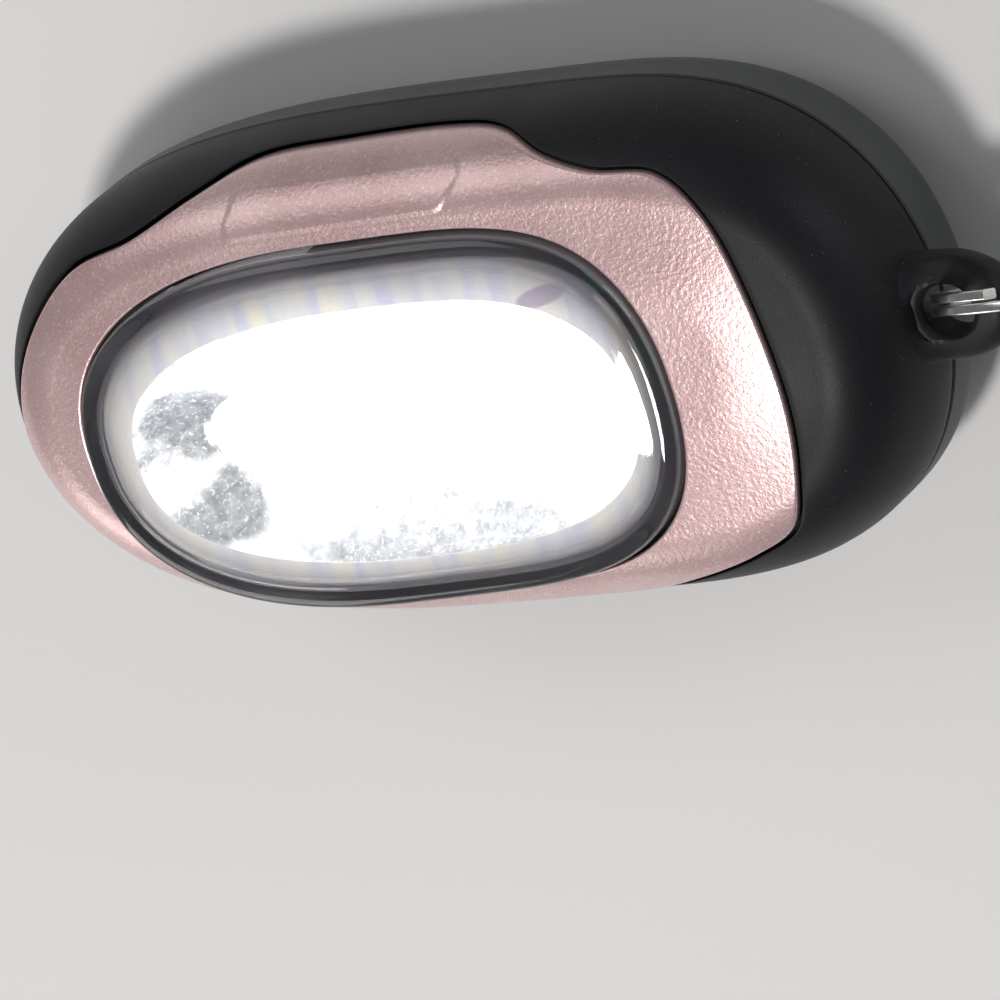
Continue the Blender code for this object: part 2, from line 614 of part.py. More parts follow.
# ---- driver board and the parts on it ----------------------------------------------------------
BOARD_BACK_X = BUTTON_X - 4.2 * MM
BOARD_FRONT_X = COVER_X + 8.0 * MM
BOARD_HALF_Y = 0.42 * HALF_WIDTH
board = add("driver_board", box("driver_board", (BOARD_BACK_X, -BOARD_HALF_Y, BOARD_Z),
                                (BOARD_FRONT_X, BOARD_HALF_Y, BOARD_Z + BOARD_THICK)), board_green)
bevel(board, 0.2 * MM, 1)
BOARD_TOP = BOARD_Z + BOARD_THICK + 0.12 * MM
chip = add("driver_chip", box("driver_chip", (BUTTON_X - 2.5 * MM, -5.6 * MM, BOARD_TOP),
                              (BUTTON_X + 2.5 * MM, -1.8 * MM, BOARD_TOP + 1.4 * MM)), chip_black)
bevel(chip, 0.25 * MM, 2)
resistor = add("series_resistor", box("series_resistor", (BUTTON_X - 1.6 * MM, 3.6 * MM, BOARD_TOP),
                                      (BUTTON_X + 1.6 * MM, 5.2 * MM, BOARD_TOP + 0.6 * MM)), resistor_ink)
bevel(resistor, 0.1 * MM, 1)

# ---- tact switch, plunger, button and its retainer ---------------------------------------------
SWITCH_HALF = 3.0 * MM
SWITCH_TOP = BOARD_Z - FIT
SWITCH_BOTTOM = SWITCH_TOP - 3.4 * MM
PLUNGER_RADIUS = 1.5 * MM
switch = add("switch_body", box("switch_body", (BUTTON_X - SWITCH_HALF, -SWITCH_HALF, SWITCH_BOTTOM),
                                (BUTTON_X + SWITCH_HALF, SWITCH_HALF, SWITCH_TOP)), switch_grey)
bevel(switch, 0.3 * MM, 2)
cut(switch, cutter("plunger_way", cylinder("plunger_way", PLUNGER_RADIUS + SLIDE_FIT, SWITCH_BOTTOM - 1 * MM,
                                           SWITCH_BOTTOM + 1.7 * MM, (BUTTON_X, 0), 32)))


PLUNGER_Z = SWITCH_BOTTOM - 0.9 * MM
turned("switch_plunger", [
    (PLUNGER_RADIUS - 0.2 * MM, PLUNGER_Z), (PLUNGER_RADIUS, PLUNGER_Z + 0.2 * MM),
    (PLUNGER_RADIUS, SWITCH_BOTTOM + 0.8 * MM)], (BUTTON_X, 0), 32, stem_white, base=PLUNGER_Z)

BUTTON_BACK = 0.25 * MM
BUTTON_FLANGE_Z = WALL + FIT
BUTTON_FLANGE = 0.8 * MM
STEM_RADIUS = 1.6 * MM
turned("power_button", [
    (BUTTON_RADIUS * 0.35, BUTTON_BACK + 0.3 * MM), (BUTTON_RADIUS * 0.62, BUTTON_BACK + 0.2 * MM),
    (BUTTON_RADIUS - 0.6 * MM, BUTTON_BACK), (BUTTON_RADIUS - 0.15 * MM, BUTTON_BACK + 0.15 * MM),
    (BUTTON_RADIUS, BUTTON_BACK + 0.6 * MM), (BUTTON_RADIUS, BUTTON_FLANGE_Z),
    (BUTTON_RADIUS + 1.2 * MM, BUTTON_FLANGE_Z), (BUTTON_RADIUS + 1.2 * MM, BUTTON_FLANGE_Z + BUTTON_FLANGE),
    (STEM_RADIUS, BUTTON_FLANGE_Z + BUTTON_FLANGE), (STEM_RADIUS, PLUNGER_Z - FIT)],
    (BUTTON_X, 0), 32, rubber, base=BUTTON_BACK)
RETAINER_Z = BUTTON_FLANGE_Z + BUTTON_FLANGE + BUTTON_TRAVEL + FIT
turned("button_retainer", [
    (STEM_RADIUS + 0.5 * MM, RETAINER_Z), (COLLAR_INNER - FIT, RETAINER_Z),
    (COLLAR_INNER - FIT, RETAINER_Z + 0.8 * MM), (STEM_RADIUS + 0.5 * MM, RETAINER_Z + 0.8 * MM)],
    (BUTTON_X, 0), 36, retainer_white, closed=True)

# ---- cells, holder and contacts ----------------------------------------------------------------


def coin_cell(name, bottom_z, mat):
    edge = 0.35 * MM
    step_z = bottom_z + CELL_HEIGHT - 0.3 * MM
    return turned(name, [
        (CELL_RADIUS - edge, bottom_z), (CELL_RADIUS, bottom_z + edge), (CELL_RADIUS, step_z - 0.4 * MM),
        (CELL_RADIUS - 0.5 * MM, step_z), (CELL_RADIUS - 1.1 * MM, step_z),
        (CELL_RADIUS - 1.3 * MM, bottom_z + CELL_HEIGHT)], (COVER_X, 0), 36, mat)


coin_cell("cell_lower", CELL_LOW_Z, cell_lower_steel)
coin_cell("cell_upper", CELL_HIGH_Z, cell_upper_steel)

HOLDER_INNER = CELL_RADIUS + 0.4 * MM
HOLDER_OUTER = HOLDER_INNER + 1.0 * MM
holder = turned("cell_holder", [
    (HOLDER_INNER, CELL_LOW_Z + 1.3 * MM), (HOLDER_OUTER, CELL_LOW_Z + 1.3 * MM),
    (HOLDER_OUTER, CELLS_TOP_Z + FIT), (HOLDER_INNER, CELLS_TOP_Z + FIT)],
    (COVER_X, 0), 48, holder_black, closed=True)
cut(holder, cutter("contact_way", box("contact_way", (COVER_X - HOLDER_OUTER - 1 * MM, -2.4 * MM, 0),
                                      (COVER_X - HOLDER_INNER + 1.5 * MM, 2.4 * MM, CELLS_TOP_Z + 2 * MM))))

strip_x = COVER_X - CELL_RADIUS
contact_path = [(strip_x - 5.0 * MM, BOARD_Z - FIT), (strip_x - 1.5 * MM, BOARD_Z - FIT),
                (strip_x - 1.5 * MM, CELL_LOW_Z + 2.9 * MM), (strip_x - 0.6 * MM, CELL_LOW_Z + 2.2 * MM),
                (strip_x - 0.6 * MM, CELL_LOW_Z + 0.9 * MM)]
bm = bmesh.new()
lower_row = [bm.verts.new((x, -2.0 * MM, z)) for x, z in contact_path]
upper_row = [bm.verts.new((x, 2.0 * MM, z)) for x, z in contact_path]
for i in range(len(contact_path) - 1):
    bm.faces.new((lower_row[i], lower_row[i + 1], upper_row[i + 1], upper_row[i]))
contact = add("positive_contact", to_mesh("positive_contact", bm), contact_plate)
thick = contact.modifiers.new("thickness", "SOLIDIFY")
thick.thickness = 0.3 * MM
thick.offset = 0
thick.use_even_offset = True

SPRING_WIRE = 0.22 * MM
SPRING_TURNS = 2.5
SPRING_STEPS = 34
spring_points = []
for i in range(SPRING_STEPS + 1):
    share = i / SPRING_STEPS
    turn = 2 * pi * SPRING_TURNS * share
    radius = (1.4 + 3.4 * share) * MM
    spring_points.append((COVER_X + radius * cos(turn), radius * sin(turn),
                          CELLS_TOP_Z + FIT + SPRING_WIRE + 0.35 * MM * share))
add("contact_spring", curve_to_mesh("contact_spring", wire("contact_spring", spring_points, SPRING_WIRE)),
    spring_steel)

# ---- battery cover and its seal ----------------------------------------------------------------
FLANGE_TOP = COVER_BACK_Z + COVER_FLANGE
GROOVE_LOW = FLANGE_TOP + 0.15 * MM
GROOVE_HIGH = GROOVE_LOW + 0.8 * MM
GROOVE_DEPTH = 0.6 * MM
SEAL_WIRE = 0.3 * MM
cover = turned("battery_cover", [
    (COVER_RADIUS - 0.3 * MM, COVER_BACK_Z), (COVER_RADIUS, COVER_BACK_Z + 0.3 * MM),
    (COVER_RADIUS, FLANGE_TOP), (PLUG_RADIUS, FLANGE_TOP), (PLUG_RADIUS, GROOVE_LOW),
    (PLUG_RADIUS - GROOVE_DEPTH, GROOVE_LOW), (PLUG_RADIUS - GROOVE_DEPTH, GROOVE_HIGH),
    (PLUG_RADIUS, GROOVE_HIGH), (PLUG_RADIUS, COVER_TOP_Z)], (COVER_X, 0), 48, cover_black, base=COVER_BACK_Z)
tabs = cutter("cover_tabs", box("cover_tabs", (COVER_X - TAB_REACH, -TAB_WIDTH / 2, WALL + FIT),
                                (COVER_X + TAB_REACH, TAB_WIDTH / 2, COVER_TOP_Z)))
boolean(cover, tabs, "UNION")
slot = cutter("coin_slot", box("coin_slot", (COVER_X - 6.5 * MM, -0.95 * MM, -1 * MM),
                               (COVER_X + 6.5 * MM, 0.95 * MM, COVER_BACK_Z + 1.0 * MM)))
cut(cover, slot)

seal_profile = []
for i in range(8):
    turn = 2 * pi * i / 8
    seal_profile.append((PLUG_RADIUS - GROOVE_DEPTH + SEAL_FIT + SEAL_WIRE + SEAL_WIRE * cos(turn),
                         (GROOVE_LOW + GROOVE_HIGH) / 2 + SEAL_WIRE * 0.8 * sin(turn)))
turned("cover_seal", seal_profile, (COVER_X, 0), 36, seal_orange, closed=True)

# ---- leads between the boards ------------------------------------------------------------------
LEAD_RADIUS = 0.35 * MM
for name, side, mat in (("lead_positive", 1, lead_red), ("lead_negative", -1, lead_black)):
    y = STRIP_Y * 0.3 + side * 1.4 * MM
    start_x = BUTTON_X + 2.2 * MM
    end_x = STRIP_X - COB_HALF[0] - FIT - LEAD_RADIUS * 0.2
    low_z = BOARD_TOP + LEAD_RADIUS
    high_z = COB_Z + COB_THICK * 0.6
    route = []
    for i in range(9):
        share = i / 8
        rise = 0.5 - 0.5 * cos(pi * share)
        arch = 0.35 * MM * sin(pi * share)
        route.append((start_x + (end_x - start_x) * share, y + side * arch, low_z + (high_z - low_z) * rise))
    add(name, curve_to_mesh(name, wire(name, route, LEAD_RADIUS)), mat)

# ---- screws ------------------------------------------------------------------------------------
for n, (x, y) in enumerate(SCREW_PLACES):
    name = f"case_screw_{n + 1}"
    screw = turned(name, [
        (SCREW_HEAD - 0.2 * MM, 0.35 * MM), (SCREW_HEAD, 0.5 * MM), (SCREW_HEAD, 1.2 * MM),
        (SCREW_SHANK, 2.1 * MM), (SCREW_SHANK, FRONT_BOSS_Z + 2.2 * MM),
        (SCREW_SHANK * 0.4, FRONT_BOSS_Z + 2.9 * MM)], (x, y), 16, screw_steel)
    for turn in (0, 90):
        blade = cutter(f"drive_{n}_{turn}", box("drive", (-0.95 * MM, -0.22 * MM, 0),
                                                (0.95 * MM, 0.22 * MM, 1.1 * MM)))
        blade.matrix_world = Matrix.Translation((x, y, 0)) @ Matrix.Rotation(radians(turn), 4, "Z")
        cut(screw, blade)

# ---- split ring --------------------------------------------------------------------------------
RING_TURNS = 1.94
RING_STEPS = 64
RING_PITCH = RING_WIRE_THICK + 0.14 * MM
flat = bpy.data.curves.new("ring_section", "CURVE")
flat.dimensions = "2D"
section = flat.splines.new("POLY")
corner = 0.16 * MM
half_w = RING_WIRE_HEIGHT / 2
half_t = RING_WIRE_THICK / 2
outline = [(-half_w, -half_t + corner), (-half_w + corner, -half_t), (half_w - corner, -half_t),
           (half_w, -half_t + corner), (half_w, half_t - corner), (half_w - corner, half_t),
           (-half_w + corner, half_t), (-half_w, half_t - corner)]
section.points.add(len(outline) - 1)
for knot, (x, y) in zip(section.points, outline):
    knot.co = (x, y, 0, 1)
section.use_cyclic_u = True
section_obj = bpy.data.objects.new("ring_section", flat)
bpy.context.scene.collection.objects.link(section_obj)
helix = bpy.data.curves.new("ring_path", "CURVE")
helix.dimensions = "3D"
helix.twist_mode = "Z_UP"
helix.bevel_mode = "OBJECT"
helix.bevel_object = section_obj
helix.use_fill_caps = True
path = helix.splines.new("POLY")
path.points.add(RING_STEPS)
for i in range(RING_STEPS + 1):
    share = i / RING_STEPS
    turn = 2 * pi * RING_TURNS * share + radians(100)
    path.points[i].co = (RING_RADIUS * cos(turn), RING_RADIUS * sin(turn), RING_PITCH * RING_TURNS
                         * (share - 0.5), 1)
# The ring is drawn flat, stood upright, leaned about the lug, then hung so its wire is in the hole.
stand = Matrix.Rotation(radians(90), 4, "X")
lean = Matrix.Rotation(RING_LEAN, 4, "X")
ring_mesh = curve_to_mesh("key_ring", helix, lean @ stand)
bpy.data.objects.remove(section_obj, do_unlink=True)
ring = add("key_ring", ring_mesh, ring_nickel)
ring.data.transform(Matrix.Translation((-RING_RADIUS, 0, 0)))
ring.location = (LUG_X, 0, LUG_Z)

# ---- the frame's origin ------------------------------------------------------------------------
# It is the middle of the flat strip of back between the button and the cell cover.
BACK_STRIP_X = (BUTTON_X + BUTTON_RADIUS + COVER_X - COVER_RADIUS) / 2
for obj in list(parts.objects) + list(tools.objects):
    obj.location.x -= BACK_STRIP_X
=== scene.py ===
"""Looks of the key-ring COB light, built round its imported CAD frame.

The light lies on its flat back with the lens up, in metres. Every visible shell is modelled again
at a fine pitch inside the space of its CAD node; the screws and the parts inside keep their CAD
meshes and get finishes of their own.
"""

import json
import logging
from dataclasses import dataclass, field
from enum import Enum
from math import atan2, cos, hypot, pi, radians, sin, sqrt, tau

import bmesh
import bpy
from mathutils import Matrix, Vector
from mathutils.kdtree import KDTree


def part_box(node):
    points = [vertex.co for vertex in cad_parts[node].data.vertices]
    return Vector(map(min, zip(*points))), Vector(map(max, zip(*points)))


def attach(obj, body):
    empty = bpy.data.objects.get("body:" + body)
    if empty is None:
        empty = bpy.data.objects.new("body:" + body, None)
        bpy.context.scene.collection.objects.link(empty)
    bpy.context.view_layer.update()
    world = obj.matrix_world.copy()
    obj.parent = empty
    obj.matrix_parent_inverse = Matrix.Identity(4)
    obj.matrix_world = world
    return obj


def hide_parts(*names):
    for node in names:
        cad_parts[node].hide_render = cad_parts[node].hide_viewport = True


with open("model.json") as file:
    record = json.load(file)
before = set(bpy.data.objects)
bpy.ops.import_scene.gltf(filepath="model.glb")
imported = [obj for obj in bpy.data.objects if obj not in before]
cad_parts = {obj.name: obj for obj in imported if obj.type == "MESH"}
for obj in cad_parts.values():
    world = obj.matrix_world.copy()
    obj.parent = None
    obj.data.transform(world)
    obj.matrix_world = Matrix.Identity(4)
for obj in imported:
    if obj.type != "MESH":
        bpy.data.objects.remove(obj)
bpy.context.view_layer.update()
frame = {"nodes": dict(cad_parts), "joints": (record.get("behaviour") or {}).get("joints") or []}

MM = 0.001
LOG = logging.getLogger("key_ring_light")

Point = tuple[float, float]
Colour = tuple[float, float, float]


class Body(Enum):
    """The frame's bodies that new pieces ride on."""

    CASE = "case"
    COVER = "cover"
    BUTTON = "button"
    RING = "ring"


# ---- plan outlines and the crowned face ---------------------------------------------------------
@dataclass(frozen=True)
class Egg:
    """A closed plan outline of two blunt ends that meet at a waist."""

    centre: Point
    waist: float
    back: float
    back_power: float
    front: float
    front_power: float
    half_width: float
    power: float
    tilt: float = 0.0

    def at(self, angle: float) -> tuple[float, float, float, float]:
        """Finds one point of the outline before its tilt.

        Args:
            angle: the outline angle in radians, 0 along +X.

        Returns:
            The point and its outward normal, as x, y, nx and ny.
        """
        c, s = cos(angle), sin(angle)
        end = 1 if c >= 0 else -1
        side = 1 if s >= 0 else -1
        reach, p = (self.front, self.front_power) if c >= 0 else (self.back, self.back_power)
        x = reach * abs(c) ** (2 / p) * end
        y = self.half_width * abs(s) ** (2 / self.power) * side
        nx = p * (abs(x) / reach) ** (p - 1) / reach * end
        ny = self.power * (abs(y) / self.half_width) ** (self.power - 1) / self.half_width * side
        length = hypot(nx, ny)
        return x + self.waist, y, nx / length, ny / length

    def path(self, inset: float = 0.0, count: int = 1440) -> list[Point]:
        """Samples the outline, moved inward.

        Args:
            inset: how far inward, in metres.
            count: how many points.

        Returns:
            The points, anticlockwise from +X.
        """
        points = []
        for i in range(count):
            x, y, nx, ny = self.at(tau * i / count)
            x, y = x - nx * inset, y - ny * inset
            points.append((x * cos(self.tilt) - y * sin(self.tilt) + self.centre[0],
                           x * sin(self.tilt) + y * cos(self.tilt) + self.centre[1]))
        return points


def fan(count: int, squeeze: float = 0.62) -> list[float]:
    """Spreads ray angles so that they meet an oval at nearly even steps.

    Args:
        count: how many rays.
        squeeze: the oval's width over its length.

    Returns:
        Rising angles from 0 to a full turn.
    """
    return [atan2(squeeze * sin(tau * i / count), cos(tau * i / count)) % tau for i in range(count)]


def on_rays(outline: list[Point], centre: Point, rays: list[float]) -> list[Point]:
    """Finds where rays from a centre meet an outline that is seen whole from it.

    Args:
        outline: the outline's points.
        centre: where the rays start.
        rays: rising angles in radians.

    Returns:
        One point for each ray.
    """
    cx, cy = centre
    polar = sorted((atan2(y - cy, x - cx) % tau, x, y) for x, y in outline)
    first, last = polar[0], polar[-1]
    polar = [(last[0] - tau, *last[1:]), *polar, (first[0] + tau, *first[1:])]
    hits = []
    k = 0
    for angle in rays:
        while polar[k + 1][0] < angle:
            k += 1
        _, ax, ay = polar[k]
        _, bx, by = polar[k + 1]
        dx, dy, ex, ey = cos(angle), sin(angle), bx - ax, by - ay
        reach = ((ax - cx) * ey - (ay - cy) * ex) / (dx * ey - dy * ex)
        hits.append((cx + reach * dx, cy + reach * dy))
    return hits


def between(a: list[Point], b: list[Point], share: float) -> list[Point]:
    """Points part of the way from one outline to another of as many points."""
    return [(p[0] + (q[0] - p[0]) * share, p[1] + (q[1] - p[1]) * share) for p, q in zip(a, b)]


def stepped(a: list[Point], b: list[Point], distance: float) -> list[Point]:
    """Points a set distance from one outline towards another of as many points."""
    return [(p[0] + (q[0] - p[0]) * distance / hypot(q[0] - p[0], q[1] - p[1]),
             p[1] + (q[1] - p[1]) * distance / hypot(q[0] - p[0], q[1] - p[1])) for p, q in zip(a, b)]


def nearer(a: list[Point], b: list[Point], hub: Point) -> list[Point]:
    """Of two outlines on the same rays, the point nearer the hub on each ray."""
    return [min(p, q, key=lambda r: hypot(r[0] - hub[0], r[1] - hub[1])) for p, q in zip(a, b)]


def grown(points: list[Point], distance: float) -> list[Point]:
    """An anticlockwise outline moved outward by a distance."""
    moved = []
    for i, (x, y) in enumerate(points):
        ax, ay = points[i - 1]
        bx, by = points[(i + 1) % len(points)]
        size = hypot(bx - ax, by - ay)
        moved.append((x + (by - ay) / size * distance, y - (bx - ax) / size * distance))
    return moved


def rounded_outline(corners: list[Point], steps: int = 24) -> list[Point]:
    """Runs one smooth closed line through corners.

    Args:
        corners: points that the line passes through.
        steps: points for each stretch between corners.

    Returns:
        The smooth line's points.
    """
    count = len(corners)
    line = []
    for i in range(count):
        p = [Vector(corners[(i + k) % count]) for k in (-1, 0, 1, 2)]
        for k in range(steps):
            t = k / steps
            along = (p[1] * 2 + (p[2] - p[0]) * t + (p[0] * 2 - p[1] * 5 + p[2] * 4 - p[3]) * t ** 2
                     + (p[1] * 3 - p[0] - p[2] * 3 + p[3]) * t ** 3) / 2
            line.append((along.x, along.y))
    return line


def smooth(value: float) -> float:
    """An even S-shaped rise from 0 to 1."""
    value = min(1.0, max(0.0, value))
    return value * value * (3 - 2 * value)


def level(points: list[Point], z: float) -> list[Vector]:
    """An outline as a ring at one height."""
    return [Vector((x, y, z)) for x, y in points]


@dataclass
class CrownedFace:
    """The crowned front of the case: its height over any point of the plan."""

    case: Egg
    bend_z: float
    plate_z: float
    crown_rise: float
    round_over: float = 6.0 * MM
    crown_width: float = 4.5 * MM
    edge: list[Point] = field(init=False)
    tree: KDTree = field(init=False)

    def __post_init__(self) -> None:
        """Samples the case outline for the distance lookups."""
        self.edge = self.case.path(0.0, 2400)
        self.tree = KDTree(len(self.edge))
        for i, (x, y) in enumerate(self.edge):
            self.tree.insert((x, y, 0), i)
        self.tree.balance()

    def inset(self, x: float, y: float) -> float:
        """Distance in plan from a point to the case outline."""
        _, i, _ = self.tree.find((x, y, 0))
        best = 1.0
        for j in (i - 1, i):
            ax, ay = self.edge[j]
            bx, by = self.edge[(j + 1) % len(self.edge)]
            ex, ey = bx - ax, by - ay
            t = min(1.0, max(0.0, ((x - ax) * ex + (y - ay) * ey) / (ex * ex + ey * ey)))
            best = min(best, hypot(x - ax - ex * t, y - ay - ey * t))
        return best

    def height(self, x: float, y: float, offset: float = 0.0) -> float:
        """Height of the face, moved outward along itself.

        Args:
            x: plan place along the case.
            y: plan place across it.
            offset: how far outward, in metres.

        Returns:
            The height in metres.
        """
        inset = self.inset(x, y)
        across = self.round_over + offset
        tall = self.plate_z - self.bend_z + offset
        if inset < self.round_over:
            lean = min(1.0, (self.round_over - inset) / across)
            return self.bend_z + tall * sqrt(1 - lean * lean)
        rise = smooth((inset - self.round_over) / (self.crown_width * 2) + 0.18)
        low = smooth(0.18)
        return self.plate_z + offset + self.crown_rise * (rise - low) / (1 - low)

    def over(self, points: list[Point], offset: float = 0.0) -> list[Vector]:
        """An outline laid on the face at an offset."""
        return [Vector((x, y, self.height(x, y, offset))) for x, y in points]


# ---- hand tools ---------------------------------------------------------------------------------
def clear_selection() -> None:
    """Leaves nothing selected, in object mode."""
    if bpy.context.object is not None and bpy.context.object.mode != "OBJECT":
        bpy.ops.object.mode_set(mode="OBJECT")
    bpy.ops.object.select_all(action="DESELECT")


def activate(obj: bpy.types.Object) -> None:
    """Makes one object the only selected one."""
    clear_selection()
    obj.select_set(True)
    bpy.context.view_layer.objects.active = obj


def shade(obj: bpy.types.Object, angle: float = 38.0) -> None:
    """Shades an object smooth and keeps its corners crisp."""
    activate(obj)
    bpy.ops.object.shade_smooth_by_angle(angle=radians(angle))


def skin(name: str, rings: list[list[Vector]], closed: bool = False) -> bpy.types.Object:
    """Draws a circle on the first ring and extrudes it through the others.

    Args:
        name: the new object's name.
        rings: outlines of as many points each, in order over the surface.
        closed: whether the last ring joins the first; otherwise both ends are capped.

    Returns:
        The closed mesh as an object at the origin.
    """
    clear_selection()
    count = len(rings[0])
    bpy.ops.mesh.primitive_circle_add(vertices=count, radius=10 * MM, calc_uvs=False)
    obj = bpy.context.active_object
    obj.name = obj.data.name = name
    bpy.ops.object.mode_set(mode="EDIT")
    bpy.ops.mesh.select_all(action="SELECT")
    mesh = obj.data
    bm = bmesh.from_edit_mesh(mesh)
    place = bm.verts.layers.int.new("place")
    for i, vert in enumerate(bm.verts):
        vert[place] = i
        vert.co = rings[0][i]
    bmesh.update_edit_mesh(mesh)
    if not closed:
        bpy.ops.mesh.edge_face_add()
    bpy.ops.mesh.select_mode(type="EDGE")
    following = rings[1:] + ([rings[0]] if closed else [])
    for ring in following:
        bpy.ops.mesh.extrude_edges_move()
        bm = bmesh.from_edit_mesh(mesh)
        place = bm.verts.layers.int["place"]
        for vert in bm.verts:
            if vert.select:
                vert.co = ring[vert[place]]
        bmesh.update_edit_mesh(mesh)
    if not closed:
        bpy.ops.mesh.edge_face_add()
    bpy.ops.mesh.select_all(action="SELECT")
    if closed:
        bpy.ops.mesh.remove_doubles(threshold=1e-7)
    bpy.ops.mesh.normals_make_consistent(inside=False)
    bpy.ops.object.mode_set(mode="OBJECT")
    mesh.attributes.remove(mesh.attributes["place"])
    return obj


def turned(name: str, profile: list[Point], centre: Point, count: int = 96) -> bpy.types.Object:
    """Turns a profile about an upright axis.

    Args:
        name: the new object's name.
        profile: (radius, height) pairs in order.
        centre: the axis in plan.
        count: points round the axis.

    Returns:
        The turned object.
    """
    ways = [(cos(tau * i / count), sin(tau * i / count)) for i in range(count)]
    rings = [[Vector((centre[0] + r * c, centre[1] + r * s, z)) for c, s in ways] for r, z in profile]
    return skin(name, rings)


def combine(obj: bpy.types.Object, other: bpy.types.Object, operation: str) -> None:
    """Applies an exact Boolean of one object on another and removes the tool."""
    activate(obj)
    mod = obj.modifiers.new(other.name, "BOOLEAN")
    mod.operation = operation
    mod.solver = "EXACT"
    mod.object = other
    bpy.ops.object.modifier_apply(modifier=mod.name)
    bpy.data.objects.remove(other, do_unlink=True)


def block(name: str, low: tuple[float, float, float], high: tuple[float, float, float]) -> bpy.types.Object:
    """Adds a cube sized in edit mode between two corners."""
    clear_selection()
    middle = [(a + b) / 2 for a, b in zip(low, high)]
    bpy.ops.mesh.primitive_cube_add(size=1.0)
    obj = bpy.context.active_object
    obj.name = obj.data.name = name
    bpy.ops.object.mode_set(mode="EDIT")
    bpy.ops.mesh.select_all(action="SELECT")
    bpy.ops.transform.resize(value=[b - a for a, b in zip(low, high)])
    bpy.ops.transform.translate(value=middle)
    bpy.ops.object.mode_set(mode="OBJECT")
    return obj


def soften(obj: bpy.types.Object, width: float, segments: int = 2, angle: float = 40.0) -> None:
    """Rounds an object's corners with an applied Bevel."""
    activate(obj)
    mod = obj.modifiers.new("edges", "BEVEL")
    mod.width = width
    mod.segments = segments
    mod.limit_method = "ANGLE"
    mod.angle_limit = radians(angle)
    mod.use_clamp_overlap = True
    bpy.ops.object.modifier_apply(modifier=mod.name)


def finish_piece(obj: bpy.types.Object, body: Body, slot: str, material: bpy.types.Material,
                 *nodes: str) -> bpy.types.Object:
    """Dresses a finished piece and hands it to the frame.

    Args:
        obj: the piece.
        body: the body that it moves with.
        slot: the record's material slot; not used.
        material: its finish.
        nodes: the CAD nodes that it stands for.

    Returns:
        The same piece.
    """
    obj.data.materials.clear()
    obj.data.materials.append(material)
    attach(obj, body.value)
    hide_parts(*nodes)
    LOG.info("%s: %d faces on %s", obj.name, len(obj.data.polygons), body.value)
    return obj


def frame_joint(name: str) -> dict:
    """The frame's record of one joint."""
    return next(j for j in frame["joints"] if j["name"] == name)


def middle_of(node: str) -> Point:
    """The plan middle of a CAD node."""
    low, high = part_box(node)
    return (low.x + high.x) / 2, (low.y + high.y) / 2


